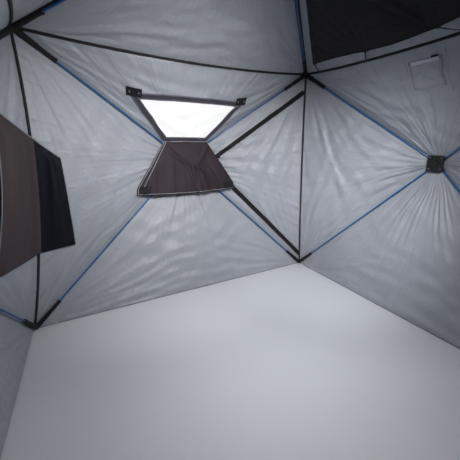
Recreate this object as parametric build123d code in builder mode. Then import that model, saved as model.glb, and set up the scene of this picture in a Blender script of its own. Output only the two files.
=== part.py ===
from build123d import *
import math
import os

# Pop-up ice fishing hut: four walls and a roof, each one square of cloth
# pushed outward by a hub with four poles. Millimetres, Z up, the middle of
# the footprint on the ground at the origin, the back wall toward +Y.

# Overall form
base_half = 1150.0
top_half = 955.0
corner_height = 1780.0
hub_reach = 1340.0
hub_height = 1100.0
roof_hub_height = 2120.0
seam_bow = 98.0
roof_bow = 118.0

# Cloth and sewn strips
fabric = 6.0
binding_half = 9.0
binding_thick = 2.0
binding_end = 45.0
seat = 0.3

# Poles, hubs and corner pockets
pole_radius = 5.5
pole_depth = 27.0
socket_radius = 9.0
socket_start = 26.0
socket_end = 72.0
pole_fit = 0.5
sleeve_radius = 11.0
sleeve_start = 30.0
sleeve_end = 205.0
hub_neck = 30.0
hub_cap = 44.0
hub_cap_thick = 4.0
hub_plate = 102.0
hub_plate_corner = 14.0
hub_plate_thick = 4.0
hub_plate_clear = 1.5
hub_boss = 22.0
hub_boss_rise = 7.0
hub_boss_taper = 12.0

# Windows, in the top panels of the back and front walls
window_top_half = 349.0
window_height = 229.0
window_bottom_half = 163.0
window_above_hub = 171.0
window_film = 1.2
window_tape = 36.0
window_tape_thick = 2.0
tab_width = 95.0
tab_height = 50.0
flap_top_half = 176.0
flap_bottom_half = 430.0
flap_below_hub = 268.0
flap_lap = 6.0
flap_swing_in = 150.0
flap_thick = 4.0
flap_corner = 30.0

# Vents, in the top panels of the right and left walls
vent_width = 164.0
vent_height = 126.0
vent_below_eaves = 58.5
vent_shift = 50.0
vent_hole_margin = 28.0
vent_thick = 2.5

# Door, a triangle between the poles of the back wall's right panel
door_apex_x = 227.0
door_below_hub = 32.0
door_top_clear = 143.0
door_bottom_clear = 102.0
door_gap = 10.0
hinge_strip = 14.0
hinge_gap = 8.0
zip_tape = 36.0
zip_overlap = 5.0
zip_tape_thick = 2.0
zip_tape_parting = 2.0
zip_binding_gap = 2.0

# Gear loft under the right roof panel
loft_depth = 62.0
loft_thick = 4.0
loft_eave_inset = 132.0
loft_side_inset = 83.0
loft_scallop = 24.0
loft_hook_near = 190.0
strap_width = 25.0
strap_thick = 2.5
strap_plate_gap = 2.0

# Corner pocket, hung across the corner between the left and back walls
pocket_gap = 2.3
pocket_thick = 4.0
pocket_back_width = 113.0
pocket_left_width = 260.0
pocket_bottom = 560.0
pocket_back_top = 1134.0
pocket_seam_top = 1244.0
pocket_left_top = 1375.0

# Ground skirt and pull tabs
skirt_width = 145.0
skirt_thick = 3.0
tab_strap_width = 26.0
tab_strap_length = 105.0
tab_strap_thick = 5.0

# Every panel faces the core, a point in the middle of the hut at hub height.
# The reach is the distance from there to a wall's top panel.
core = Vector(0, 0, hub_height)
reach = hub_reach * math.cos(math.atan2(hub_reach - top_half, corner_height - hub_height))
far = 3.0 * base_half


def inset(point, depth):
    """The point moved toward the core, so that its panel is `depth` further in."""
    return core + (Vector(*point) - core) * (1.0 - depth / reach)


top_left = (-top_half, top_half, corner_height)
top_right = (top_half, top_half, corner_height)
base_left = (-base_half, base_half, 0.0)
base_right = (base_half, base_half, 0.0)
wall_hub = (0.0, hub_reach, hub_height)
roof_hub = (0.0, 0.0, roof_hub_height)


def seam_plane(start, end):
    """Plane through the core and the two ends of a seam, X toward the seam's middle."""
    a = Vector(*start)
    b = Vector(*end)
    return Plane(origin=core, x_dir=(a + b) * 0.5 - core, z_dir=(a - core).cross(b - core))


def wedge(start, end, bow, hub, depth):
    """Solid from the core out to one panel, whose skin is set in by `depth`.

    The panel is the cone from its hub over the seam from start to end, which
    is drawn in toward the core by `bow` at its middle."""
    plane = seam_plane(start, end)
    a = plane.to_local_coords(inset(start, depth))
    b = plane.to_local_coords(inset(end, depth))
    middle = (a + b) * 0.5
    with BuildPart() as solid:
        with BuildSketch(plane) as sector:
            with BuildLine():
                if bow:
                    ThreePointArc(a, middle - middle.normalized() * bow, b)
                else:
                    Line(a, b)
                Line(b, (0, 0))
                Line((0, 0), a)
            make_face()
        loft(sections=[sector.sketch.face(), Vertex(*inset(hub, depth))], ruled=True)
    return solid.part


def layer(panel, outer, inner):
    """The shell of one panel between two depths. A panel is (start, end, bow, hub)."""
    with BuildPart() as sheet:
        add(wedge(*panel, outer))
        add(wedge(*panel, inner), mode=Mode.SUBTRACT)
    return sheet.part


wall_top = (top_left, top_right, roof_bow, wall_hub)
wall_bottom = (base_right, base_left, 0.0, wall_hub)
wall_left = (base_left, top_left, seam_bow, wall_hub)
wall_right = (top_right, base_right, seam_bow, wall_hub)
roof_panel = (top_right, top_left, roof_bow, roof_hub)


def eaves_point(x):
    """Point of the eaves seam over the given X, on the outer skin."""
    middle = Vector(0, top_half, corner_height)
    drop = roof_bow * (1.0 - (x / top_half) ** 2)
    return Vector(x, top_half, corner_height) + (core - middle).normalized() * drop


def top_panel_reach(level, depth):
    """How far out the middle of a wall's top panel is at a level, at a depth in the cloth."""
    low = inset(wall_hub, depth)
    high = inset(eaves_point(0.0), depth)
    return low.Y + (level - low.Z) / (high.Z - low.Z) * (high.Y - low.Y)


def wall_prism(points, grow=0.0):
    """Prism along Y through the back wall, over an outline drawn in X and Z."""
    with BuildPart() as prism:
        with BuildSketch(Plane.XZ):
            with BuildLine():
                Polyline(*points, close=True)
            make_face()
            if grow:
                offset(amount=grow, kind=Kind.INTERSECTION)
        extrude(amount=-far)
    return prism.part


def seam_slab(start, end, half):
    """Thick slab about the plane of a seam, `half` to each side of it."""
    with BuildPart() as slab:
        with BuildSketch(seam_plane(start, end)):
            Rectangle(2 * far, 2 * far)
        extrude(amount=half, both=True)
    return slab.part


def hub_hole(hub, outward):
    """Round hole for a hub's neck, along the hub's axis."""
    with BuildPart() as hole:
        with BuildSketch(Plane(origin=Vector(*hub) - Vector(*outward) * 100, z_dir=outward)):
            Circle(hub_neck + seat)
        extrude(amount=200)
    return hole.part


wall_hole = hub_hole(wall_hub, (0, 1, 0))
roof_hole = hub_hole(roof_hub, (0, 0, 1))


def panel_sheet(panel, hole):
    """One cloth panel with the notch for its hub."""
    with BuildPart() as sheet:
        add(layer(panel, 0.0, fabric))
        add(hole, mode=Mode.SUBTRACT)
    return sheet.part


def save(part, name):
    part.label = name
    export_step(part, f"parts/{name}.step")


def turned(part, angle):
    """A copy turned about the hut's upright axis."""
    with BuildPart() as copy:
        add(part, rotation=(0, 0, angle))
    return copy.part


def group(parts):
    """Several solids that share a node."""
    with BuildPart() as together:
        for part in parts:
            add(part)
    return together.part


os.makedirs("parts", exist_ok=True)

# The walls are the back wall's panels turned about the middle of the hut
walls = {"back": 0, "left": 90, "front": 180, "right": -90}
side_names = {
    "back": ("left", "right"),
    "left": ("front", "back"),
    "front": ("right", "left"),
    "right": ("back", "front"),
}

# Cloth panels

window_bottom = hub_height + window_above_hub
window_top = window_bottom + window_height
window_outline = (
    (-window_top_half, window_top),
    (window_top_half, window_top),
    (window_bottom_half, window_bottom),
    (-window_bottom_half, window_bottom),
)
vent_high = eaves_point(vent_shift).Z - vent_below_eaves
vent_low = vent_high - vent_height
vent_outline = (
    (vent_shift - vent_width / 2, vent_low),
    (vent_shift + vent_width / 2, vent_low),
    (vent_shift + vent_width / 2, vent_high),
    (vent_shift - vent_width / 2, vent_high),
)

plain_top = panel_sheet(wall_top, wall_hole)
plain_bottom = panel_sheet(wall_bottom, wall_hole)
plain_left = panel_sheet(wall_left, wall_hole)
plain_right = panel_sheet(wall_right, wall_hole)
plain_roof = panel_sheet(roof_panel, roof_hole)

with BuildPart() as window_top_sheet:
    add(plain_top)
    add(wall_prism(window_outline), mode=Mode.SUBTRACT)

with BuildPart() as vent_top_sheet:
    add(plain_top)
    add(wall_prism(vent_outline, -vent_hole_margin), mode=Mode.SUBTRACT)

for wall, angle in walls.items():
    first, second = side_names[wall]
    top_sheet = window_top_sheet if wall in ("back", "front") else vent_top_sheet
    save(turned(top_sheet.part, angle), f"{wall}_wall_top")
    save(turned(plain_bottom, angle), f"{wall}_wall_bottom")
    save(turned(plain_left, angle), f"{wall}_wall_{first}")
    if wall != "back":
        save(turned(plain_right, angle), f"{wall}_wall_{second}")
    save(turned(plain_roof, angle), f"roof_{wall}")

# Door and the strips of the panel that stay around it

door_apex_z = hub_height - door_below_hub
door_top_slope = (corner_height - door_top_clear - door_apex_z) / (top_half - door_apex_x)
door_bottom_slope = (door_apex_z - door_bottom_clear) / (base_half - door_apex_x)
door_outline = (
    (door_apex_x, door_apex_z),
    (door_apex_x + base_half, door_apex_z + door_top_slope * base_half),
    (door_apex_x + base_half, door_apex_z - door_bottom_slope * base_half),
)
upper_half = (
    (-far, door_apex_z),
    (far, door_apex_z),
    (far, far),
    (-far, far),
)
seam_ends = (top_right, base_right)

with BuildPart() as door:
    add(plain_right)
    add(wall_prism(door_outline), mode=Mode.INTERSECT)
    add(seam_slab(*seam_ends, hinge_strip + hinge_gap), mode=Mode.SUBTRACT)
save(door.part, "door")

with BuildPart() as over_door:
    add(plain_right)
    add(wall_prism(door_outline, door_gap), mode=Mode.SUBTRACT)
    add(wall_prism(upper_half), mode=Mode.INTERSECT)
save(over_door.part, "back_wall_over_door")

with BuildPart() as under_door:
    add(plain_right)
    add(wall_prism(door_outline, door_gap), mode=Mode.SUBTRACT)
    add(wall_prism(upper_half), mode=Mode.SUBTRACT)
save(under_door.part, "back_wall_under_door")

with BuildPart() as hinge_side:
    add(plain_right)
    add(wall_prism(door_outline, door_gap), mode=Mode.INTERSECT)
    add(seam_slab(*seam_ends, hinge_strip), mode=Mode.INTERSECT)
save(hinge_side.part, "back_wall_hinge_strip")

# Zip tapes on the inside, one along each sloping edge of the door
with BuildPart() as zip_band:
    add(layer(wall_right, fabric + seat, fabric + seat + zip_tape_thick))
    add(wall_prism(door_outline, zip_tape - zip_overlap), mode=Mode.INTERSECT)
    add(wall_prism(door_outline, -zip_overlap), mode=Mode.SUBTRACT)
    add(seam_slab(*seam_ends, binding_half + zip_binding_gap), mode=Mode.SUBTRACT)
    with BuildSketch(Plane.XZ):
        with Locations((0, door_apex_z)):
            Rectangle(2 * far, zip_tape_parting)
    extrude(amount=-far, mode=Mode.SUBTRACT)
save(zip_band.part, "door_zip_tapes")

# Bindings along the upright corner seams and round the eaves


def seam_binding(panel, neighbour):
    """Folded strip over a seam, on the inner faces of the two panels beside it."""
    start = Vector(*panel[0])
    end = Vector(*panel[1])
    with BuildPart() as strip:
        for side in (panel, neighbour):
            add(layer(side, fabric, fabric + binding_thick))
        add(seam_slab(panel[0], panel[1], binding_half), mode=Mode.INTERSECT)
        with BuildSketch(Plane(origin=(start + end) * 0.5, z_dir=end - start)):
            Rectangle(2 * far, 2 * far)
        extrude(amount=(end - start).length / 2 - binding_end, both=True, mode=Mode.INTERSECT)
    return strip.part


right_hub = (hub_reach, 0.0, hub_height)
right_neighbour = (base_right, top_right, seam_bow, right_hub)
corner_binding = seam_binding(wall_right, right_neighbour)
eaves_binding = seam_binding(wall_top, roof_panel)
save(group([turned(corner_binding, a) for a in walls.values()]), "corner_bindings")
save(group([turned(eaves_binding, a) for a in walls.values()]), "eaves_bindings")

# Poles


def pole(hub, corner):
    """Straight rod from the hub's socket to the corner pocket."""
    a = inset(hub, pole_depth)
    b = inset(corner, pole_depth)
    along = (b - a).normalized()
    start = a + along * (socket_start + seat)
    length = (b - a).length - socket_start - sleeve_start - 2 * seat
    with BuildPart() as rod:
        with BuildSketch(Plane(origin=start, z_dir=along)):
            Circle(pole_radius)
        extrude(amount=length)
    return rod.part


wall_corners = (top_left, top_right, base_left, base_right)
wall_pole_set = group([pole(wall_hub, corner) for corner in wall_corners])
for wall, angle in walls.items():
    save(turned(wall_pole_set, angle), f"{wall}_wall_poles")

roof_corners = [(x, y, corner_height) for x in (-top_half, top_half) for y in (-top_half, top_half)]
save(group([pole(roof_hub, corner) for corner in roof_corners]), "roof_poles")

# Hubs


def plate_drop(hub, outward, corners):
    """How far in a hub's plate lies from the poles' meeting point, to clear the steepest socket."""
    centre = inset(hub, pole_depth)
    falls = [-(inset(corner, pole_depth) - centre).normalized().dot(Vector(*outward)) for corner in corners]
    slope = math.tan(math.asin(max(falls)))
    return hub_plate / math.sqrt(2) * slope + socket_radius + hub_plate_clear


def hub_block(hub, outward, corners):
    """Neck through the cloth with a cap outside, four sockets and a plate inside."""
    centre = inset(hub, pole_depth)
    axis = Vector(*outward)
    rise = (Vector(*hub) - centre).length
    drop = plate_drop(hub, outward, corners)
    upright = Vector(0, 0, 1) if abs(axis.Z) < 0.5 else Vector(0, 1, 0)
    frame = Plane(origin=centre, x_dir=upright.cross(axis), z_dir=outward)
    with BuildPart() as block:
        with BuildSketch(Plane(origin=centre, x_dir=frame.x_dir, z_dir=-frame.y_dir)):
            with BuildLine():
                Polyline(
                    (0, -drop),
                    (hub_boss, -drop),
                    (hub_neck, -hub_boss),
                    (hub_neck, rise),
                    (hub_cap, rise),
                    (hub_cap, rise + hub_cap_thick / 2),
                    (hub_neck, rise + hub_cap_thick),
                    (0, rise + hub_cap_thick),
                    close=True,
                )
            make_face()
        revolve(axis=Axis(centre, frame.z_dir))
        for corner in corners:
            along = (inset(corner, pole_depth) - centre).normalized()
            with BuildSketch(Plane(origin=centre, z_dir=along)):
                Circle(socket_radius)
            extrude(amount=socket_end)
        for corner in corners:
            along = (inset(corner, pole_depth) - centre).normalized()
            with BuildSketch(Plane(origin=centre + along * socket_start, z_dir=along)):
                Circle(pole_radius + pole_fit)
            extrude(amount=2 * socket_end, mode=Mode.SUBTRACT)
        with BuildSketch(frame.offset(-drop)):
            RectangleRounded(hub_plate, hub_plate, hub_plate_corner)
        extrude(amount=-hub_plate_thick)
        with BuildSketch(frame.offset(-drop - hub_plate_thick)):
            Circle(hub_boss)
        extrude(amount=-hub_boss_rise, taper=hub_boss_taper)
    return block.part


wall_hub_block = hub_block(wall_hub, (0, 1, 0), wall_corners)
for wall, angle in walls.items():
    save(turned(wall_hub_block, angle), f"{wall}_hub")
save(hub_block(roof_hub, (0, 0, 1), roof_corners), "roof_hub")

# Corner pockets


def corner_pocket_block(corner, hubs):
    """Sleeves round the ends of the poles that meet at a corner."""
    centre = inset(corner, pole_depth)
    with BuildPart() as block:
        with Locations(Location(centre)):
            Sphere(sleeve_radius)
        for hub in hubs:
            along = (inset(hub, pole_depth) - centre).normalized()
            with BuildSketch(Plane(origin=centre, z_dir=along)):
                Circle(sleeve_radius)
            extrude(amount=sleeve_end)
        for hub in hubs:
            along = (inset(hub, pole_depth) - centre).normalized()
            with BuildSketch(Plane(origin=centre + along * sleeve_start, z_dir=along)):
                Circle(pole_radius + pole_fit)
            extrude(amount=sleeve_end, mode=Mode.SUBTRACT)
    return block.part


top_pocket = corner_pocket_block(top_right, (wall_hub, right_hub, roof_hub))
base_pocket = corner_pocket_block(base_right, (wall_hub, right_hub))
save(group([turned(top_pocket, a) for a in walls.values()]), "top_corner_pockets")
save(group([turned(base_pocket, a) for a in walls.values()]), "base_corner_pockets")

# Windows: clear film held by tape over the opening, and the cover folded down

film_depth = fabric + window_film
with BuildPart() as film:
    add(layer(wall_top, fabric, film_depth))
    add(wall_prism(window_outline, window_tape / 2), mode=Mode.INTERSECT)
save(group([turned(film.part, a) for a in (0, 180)]), "window_panes")

tab_middle_x = window_top_half + window_tape
tab_middle_z = window_top + window_tape
with BuildPart() as frame_tape:
    add(layer(wall_top, film_depth, film_depth + window_tape_thick))
    with BuildSketch(Plane.XZ):
        with BuildLine():
            Polyline(*window_outline, close=True)
        make_face()
        offset(amount=window_tape, kind=Kind.INTERSECTION)
        with Locations((tab_middle_x, tab_middle_z), (-tab_middle_x, tab_middle_z)):
            Rectangle(tab_width, tab_height)
    extrude(amount=-far, mode=Mode.INTERSECT)
    add(wall_prism(window_outline), mode=Mode.SUBTRACT)
save(group([turned(frame_tape.part, a) for a in (0, 180)]), "window_frames")

tape_depth = film_depth + window_tape_thick
flap_top = window_bottom - window_tape + flap_lap
flap_bottom = hub_height - flap_below_hub
flap_reach_top = top_panel_reach(flap_top, tape_depth + seat)
flap_reach_bottom = hub_reach - flap_swing_in
flap_lean = math.atan2(flap_reach_top - flap_reach_bottom, flap_top - flap_bottom)
flap_length = math.hypot(flap_reach_top - flap_reach_bottom, flap_top - flap_bottom)
flap_plane = Plane(
    origin=(0, flap_reach_top, flap_top),
    x_dir=(1, 0, 0),
    z_dir=(0, -math.cos(flap_lean), math.sin(flap_lean)),
)
with BuildPart() as flap:
    with BuildSketch(flap_plane):
        with BuildLine():
            Polyline(
                (-flap_top_half, 0),
                (flap_top_half, 0),
                (flap_bottom_half, -flap_length),
                (-flap_bottom_half, -flap_length),
                close=True,
            )
        make_face()
        fillet(vertices().group_by(Axis.Y)[0], flap_corner)
    extrude(amount=flap_thick)
save(group([turned(flap.part, a) for a in (0, 180)]), "window_flaps")

# Vents: a flap over the opening
with BuildPart() as vent_flap:
    add(layer(wall_top, fabric, fabric + vent_thick))
    add(wall_prism(vent_outline), mode=Mode.INTERSECT)
save(group([turned(vent_flap.part, a) for a in (-90, 90)]), "vent_flaps")

# Gear loft: a cloth triangle under the right roof panel, with scalloped eaves edge


def loft_eave(x):
    """How far out the loft's eaves edge is at a hook."""
    return eaves_point(x).Y - loft_eave_inset


# The loft's sloping sides run beside the roof poles, and meet at its peak
peak = loft_side_inset * math.sqrt(2)
side = top_half
for _ in range(8):
    side = loft_eave(side) - peak


def loft_level(x, y):
    """Height of the loft's upper face over a point."""
    shrink = 1.0 - loft_depth / reach
    seam = eaves_point(x)
    for _ in range(8):
        seam = eaves_point(x / y * seam.Y)
    level = roof_hub_height + (y / shrink / seam.Y) * (seam.Z - roof_hub_height)
    return hub_height + (level - hub_height) * shrink


loft_hooks = (-side, -loft_hook_near, loft_hook_near, side)
with BuildPart() as loft_sheet:
    add(layer(roof_panel, loft_depth, loft_depth + loft_thick))
    with BuildSketch(Plane.XY):
        with BuildLine():
            for left, right in zip(loft_hooks, loft_hooks[1:]):
                low = (loft_eave(left) + loft_eave(right)) / 2 - loft_scallop
                ThreePointArc((left, loft_eave(left)), ((left + right) / 2, low), (right, loft_eave(right)))
            Polyline((side, loft_eave(side)), (0, peak), (-side, loft_eave(side)))
        make_face()
    extrude(amount=far, mode=Mode.INTERSECT)
save(turned(loft_sheet.part, -90), "gear_loft")


def loft_strap(x, start, end):
    """Flat strap from the loft's edge to what holds it, start and end in Y and Z."""
    with BuildPart() as strap:
        with BuildSketch(Plane.YZ.offset(x - strap_width / 2)):
            with BuildLine():
                Polyline(
                    start,
                    end,
                    (end[0], end[1] - strap_thick),
                    (start[0], start[1] - strap_thick),
                    close=True,
                )
            make_face()
        extrude(amount=strap_width)
    return strap.part


# Straps from the loft's hooks up to the eaves binding, and from its peak to the roof hub
straps = []
for x in loft_hooks:
    lowest = eaves_point(abs(x) - strap_width / 2)
    hold = inset(lowest, fabric + binding_thick) + Vector(0, -2 * seat, -3 * seat)
    edge = loft_eave(x)
    straps.append(loft_strap(x, (edge + seat, loft_level(x, edge)), (hold.Y, hold.Z)))
roof_centre = inset(roof_hub, pole_depth)
plate_under = roof_centre.Z - plate_drop(roof_hub, (0, 0, 1), roof_corners) - hub_plate_thick - seat
peak_level = loft_level(0.0, peak)
straps.append(loft_strap(0.0, (peak - seat, peak_level), (hub_boss + strap_plate_gap, plate_under)))
save(turned(group(straps), -90), "loft_straps")

# Corner pocket: cloth across the corner seam between the left and back walls


def pocket_side(panel, width, top, lean):
    """One face of the corner pocket, from the seam out to its free edge."""
    seam_x = lean * top_half
    foot_x = lean * base_half
    edge_x = lean * (top_half - width)
    with BuildPart() as sheet:
        add(layer(panel, fabric + pocket_gap, fabric + pocket_gap + pocket_thick))
        with BuildSketch(Plane.XZ):
            with BuildLine():
                Polyline(
                    (foot_x, pocket_bottom),
                    (foot_x, pocket_seam_top),
                    (seam_x, pocket_seam_top),
                    (edge_x, top),
                    (edge_x, pocket_bottom),
                    close=True,
                )
            make_face()
        extrude(amount=-far, mode=Mode.INTERSECT)
    return sheet.part


with BuildPart() as corner_pocket:
    add(pocket_side(wall_left, pocket_back_width, pocket_back_top, -1.0))
    add(turned(pocket_side(wall_right, pocket_left_width, pocket_left_top, 1.0), 90))
save(corner_pocket.part, "corner_pocket")

# Ground skirt: four flat strips outside the walls' feet
skirt_inner = base_half + skirt_thick * (hub_reach - base_half) / hub_height + seat
skirt_outer = skirt_inner + skirt_width
with BuildPart() as skirt_strip:
    with BuildSketch(Plane.XY):
        with BuildLine():
            Polyline(
                (-skirt_inner + seat, skirt_inner),
                (skirt_inner - seat, skirt_inner),
                (skirt_outer - seat, skirt_outer),
                (-skirt_outer + seat, skirt_outer),
                close=True,
            )
        make_face()
    extrude(amount=skirt_thick)
save(group([turned(skirt_strip.part, a) for a in walls.values()]), "skirt")

# Pull tabs, hung from the caps of the hubs
cap_rise = hub_cap_thick + seat
with BuildPart() as wall_tab:
    with BuildSketch(Plane.XZ.offset(-hub_reach - cap_rise)):
        with Locations((0, hub_height - tab_strap_length / 2 + tab_strap_width / 2)):
            RectangleRounded(tab_strap_width, tab_strap_length, tab_strap_width / 3)
    extrude(amount=-tab_strap_thick)
with BuildPart() as roof_tab:
    with BuildSketch(Plane.XY.offset(roof_hub_height + cap_rise)):
        RectangleRounded(tab_strap_length, tab_strap_width, tab_strap_width / 3)
    extrude(amount=tab_strap_thick)
save(group([turned(wall_tab.part, a) for a in walls.values()] + [roof_tab.part]), "pull_tabs")
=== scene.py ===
import math

import bmesh
import bpy
import numpy as np
from bpy.props import FloatProperty, FloatVectorProperty, IntProperty, PointerProperty
from mathutils import Matrix, Vector


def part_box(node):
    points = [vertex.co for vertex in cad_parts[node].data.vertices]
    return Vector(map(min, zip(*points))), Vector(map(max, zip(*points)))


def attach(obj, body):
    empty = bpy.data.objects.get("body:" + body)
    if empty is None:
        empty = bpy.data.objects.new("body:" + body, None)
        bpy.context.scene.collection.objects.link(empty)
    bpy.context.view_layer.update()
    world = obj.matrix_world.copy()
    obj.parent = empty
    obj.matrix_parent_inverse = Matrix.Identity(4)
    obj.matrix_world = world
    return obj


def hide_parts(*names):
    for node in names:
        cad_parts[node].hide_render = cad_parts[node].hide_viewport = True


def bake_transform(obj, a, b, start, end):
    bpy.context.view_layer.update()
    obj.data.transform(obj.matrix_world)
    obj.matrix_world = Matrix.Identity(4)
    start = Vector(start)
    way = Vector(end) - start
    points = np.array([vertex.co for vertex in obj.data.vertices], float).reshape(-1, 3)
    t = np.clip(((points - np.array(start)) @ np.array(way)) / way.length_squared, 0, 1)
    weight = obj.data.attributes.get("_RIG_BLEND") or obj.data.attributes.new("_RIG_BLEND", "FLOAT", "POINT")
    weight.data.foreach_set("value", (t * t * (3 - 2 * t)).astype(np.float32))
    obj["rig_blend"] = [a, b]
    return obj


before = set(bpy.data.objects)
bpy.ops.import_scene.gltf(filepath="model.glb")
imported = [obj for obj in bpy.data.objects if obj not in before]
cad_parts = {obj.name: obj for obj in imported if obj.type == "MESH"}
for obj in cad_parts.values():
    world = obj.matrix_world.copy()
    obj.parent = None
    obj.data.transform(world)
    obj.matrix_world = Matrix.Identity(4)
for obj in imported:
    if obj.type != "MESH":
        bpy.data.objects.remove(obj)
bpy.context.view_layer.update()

bl_info = {
    "name": "Ice fishing hut",
    "version": (1, 0, 0),
    "blender": (4, 5, 0),
    "location": "3D View > Sidebar > Hut",
    "description": "Dresses a pop-up ice fishing hut: quilted cloth, poles, hubs, window, door zips and loft",
    "category": "Object",
}

# Form of the hut, in metres: the back wall is toward +Y, and the others are it, turned
base_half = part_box("back_wall_bottom")[1][0]
top_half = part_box("back_wall_top")[1][0]
corner_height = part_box("back_wall_top")[1][2]
hub_height = 1.1
hub_reach = 1.34
roof_hub_height = 2.12
seam_bow = 0.098
eaves_bow = 0.118
cloth_depth = 0.006
pole_depth = 0.027
neck_share = 0.026

core = np.array((0.0, 0.0, hub_height))
reach = hub_reach * math.cos(math.atan2(hub_reach - top_half, corner_height - hub_height))
wall_turns = {"back": 0.0, "left": 90.0, "front": 180.0, "right": -90.0}

top_left = (-top_half, top_half, corner_height)
top_right = (top_half, top_half, corner_height)
base_left = (-base_half, base_half, 0.0)
base_right = (base_half, base_half, 0.0)

# Seams that each wall repeats: start, end and how far the middle is drawn in
corner_seam = (top_right, base_right, seam_bow)
eaves_seam = (top_left, top_right, eaves_bow)

# Places on the back wall, in X and Z
window_outline = ((-0.349, 1.5), (0.349, 1.5), (0.163, 1.271), (-0.163, 1.271))
vent_middle = (0.05, 1.59)
vent_size = (0.164, 0.126)
vent_margin = 0.028
door_apex = (0.227, 1.068)
door_top = (0.955, 1.637)
door_foot = (1.15, 0.102)
door_gap = 0.010
hinge_strip = 0.014
# The door's panel lies past these places in X and Y
door_panel_from = (0.15, 0.5)
# Where the door's cloth begins and ends to bend, in metres from the middle of the corner seam
door_bend = (0.062, 0.30)

# Fans of creases from a panel's corners and from the hub: how far they reach in metres, fewest and most
# waves a radian, their share of the crease height, and whether their ridges are sharp
corner_fans = ((0.42, 3.0, 8.5, 1.0, False), (0.75, 7.0, 13.0, 0.5, False), (0.34, 9.0, 15.0, 0.40, True))
hub_fans = ((0.26, 2.5, 6.0, 0.9, False), (0.19, 7.0, 12.0, 0.75, True))
gather_reach = 0.11
gather_share = 0.85
# Cloth lies flat at the poles and the seams, and its creases grow over these distances
pole_hold = 0.105
seam_hold = 0.030
crease_limits = (-0.011, 0.013)

# Points along a seam, and the size below which a cut takes a vertex as on its line
seam_points = 150
cut_tolerance = 1e-5

# How far layers sewn to the cloth stand off its lining; the fold entry is the dark cord of painted shadow by
# a vent's flap
lifts = {
    "tuck": 0.0004, "film": 0.0010, "fold": 0.0012, "zip": 0.0014, "flap": 0.0014, "roof strip": 0.0016,
    "tape": 0.0026, "binding": 0.004, "cover edge": 0.0044, "hem": 0.0050, "tab": 0.0060, "stitch": 0.0084,
    "vent tab": 0.0090, "snap": 0.0092, "pocket": 0.0155, "pocket corner": 0.0190,
}
# How far edging lies on a sheet that hangs free
edging_lift = 0.0034

# Seeds of the random draws, so that each run gives the same cloth
seeds = {
    "wall": 11, "roof": 55, "cover": 71, "vent": 81, "loft": 91, "pocket": 101, "skirt": 121, "sleeve": 300,
}


def srgb(*seen):
    """A colour as it is seen, 0 to 255, as the linear values that a shader takes."""
    return tuple((c / 255 / 12.92) if c <= 10 else ((c / 255 + 0.055) / 1.055) ** 2.4 for c in seen)


# Colours of small parts
pocket_colour = srgb(62, 54, 56)
edging_colour = srgb(120, 122, 128)
tape_colour = srgb(46, 44, 54)
tape_edge_colour = srgb(88, 85, 98)
cover_lining_colour = srgb(17, 18, 27)
thread_colour = srgb(104, 98, 108)


# Settings that a user would change


class HutClothSettings(bpy.types.PropertyGroup):
    crease_height: FloatProperty(
        name="Crease height", description="Height of the creases that spread from corners and hubs",
        default=0.0060, unit="LENGTH")
    wave_height: FloatProperty(
        name="Wave height", description="Height of the broad waves in the cloth",
        default=0.0055, unit="LENGTH")
    columns: IntProperty(name="Columns", description="Faces along each side of a wall", default=112, min=16)
    rows: IntProperty(name="Rows", description="Faces from a hub out to the seams", default=64, min=12)
    lining_colour: FloatVectorProperty(
        name="Lining", description="Grey lining inside the hut", default=srgb(146, 150, 158), subtype="COLOR")
    shell_colour: FloatVectorProperty(
        name="Shell", description="Outside of the cloth", default=srgb(66, 58, 63), subtype="COLOR")
    cover_colour: FloatVectorProperty(
        name="Covers", description="Window covers", default=srgb(43, 35, 41), subtype="COLOR")
    black_colour: FloatVectorProperty(
        name="Black cloth", description="Loft, sleeves, zip tapes and bindings", default=srgb(24, 22, 26),
        subtype="COLOR")


class HutHardwareSettings(bpy.types.PropertyGroup):
    pole_colour: FloatVectorProperty(
        name="Poles", description="Fibreglass poles", default=srgb(8, 74, 128), subtype="COLOR")
    plastic_colour: FloatVectorProperty(
        name="Plastic", description="Hubs, rings, zip teeth and sliders",
        default=srgb(12, 12, 14), subtype="COLOR")
    film_alpha: FloatProperty(
        name="Film", description="How much the window film shows", default=0.12, min=0, max=1)


class HutStageSettings(bpy.types.PropertyGroup):
    floor_colour: FloatVectorProperty(
        name="Floor", description="Plain pale floor", default=srgb(204, 207, 213), subtype="COLOR")
    lamp_power: FloatProperty(
        name="Lamp", description="Soft lamps inside the hut", default=12.0, unit="POWER")
    outside_power: FloatProperty(
        name="Outside lamp", description="Large soft lamp outside the hut", default=270.0, unit="POWER")
    sky_strength: FloatProperty(name="Sky", description="Light from all round outside", default=0.75)


# Shader maths


class Value:
    """One output in a material's nodes, so that shader maths reads as an expression."""

    def __init__(self, shader, socket):
        self.shader = shader
        self.socket = socket

    def maths(self, operation, *others, clamp=False):
        return self.shader.node(
            "ShaderNodeMath", {"operation": operation, "use_clamp": clamp},
            dict(enumerate((self, *others))))

    def clamped(self):
        """The value kept between 0 and 1."""
        return self.maths("ADD", 0.0, clamp=True)

    def __add__(self, other):
        return self.maths("ADD", other)

    def __sub__(self, other):
        return self.maths("SUBTRACT", other)

    def __rsub__(self, other):
        return (self * -1.0) + other

    def __mul__(self, other):
        return self.maths("MULTIPLY", other)

    def __truediv__(self, other):
        return self.maths("DIVIDE", other)

    __radd__ = __add__
    __rmul__ = __mul__


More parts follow.
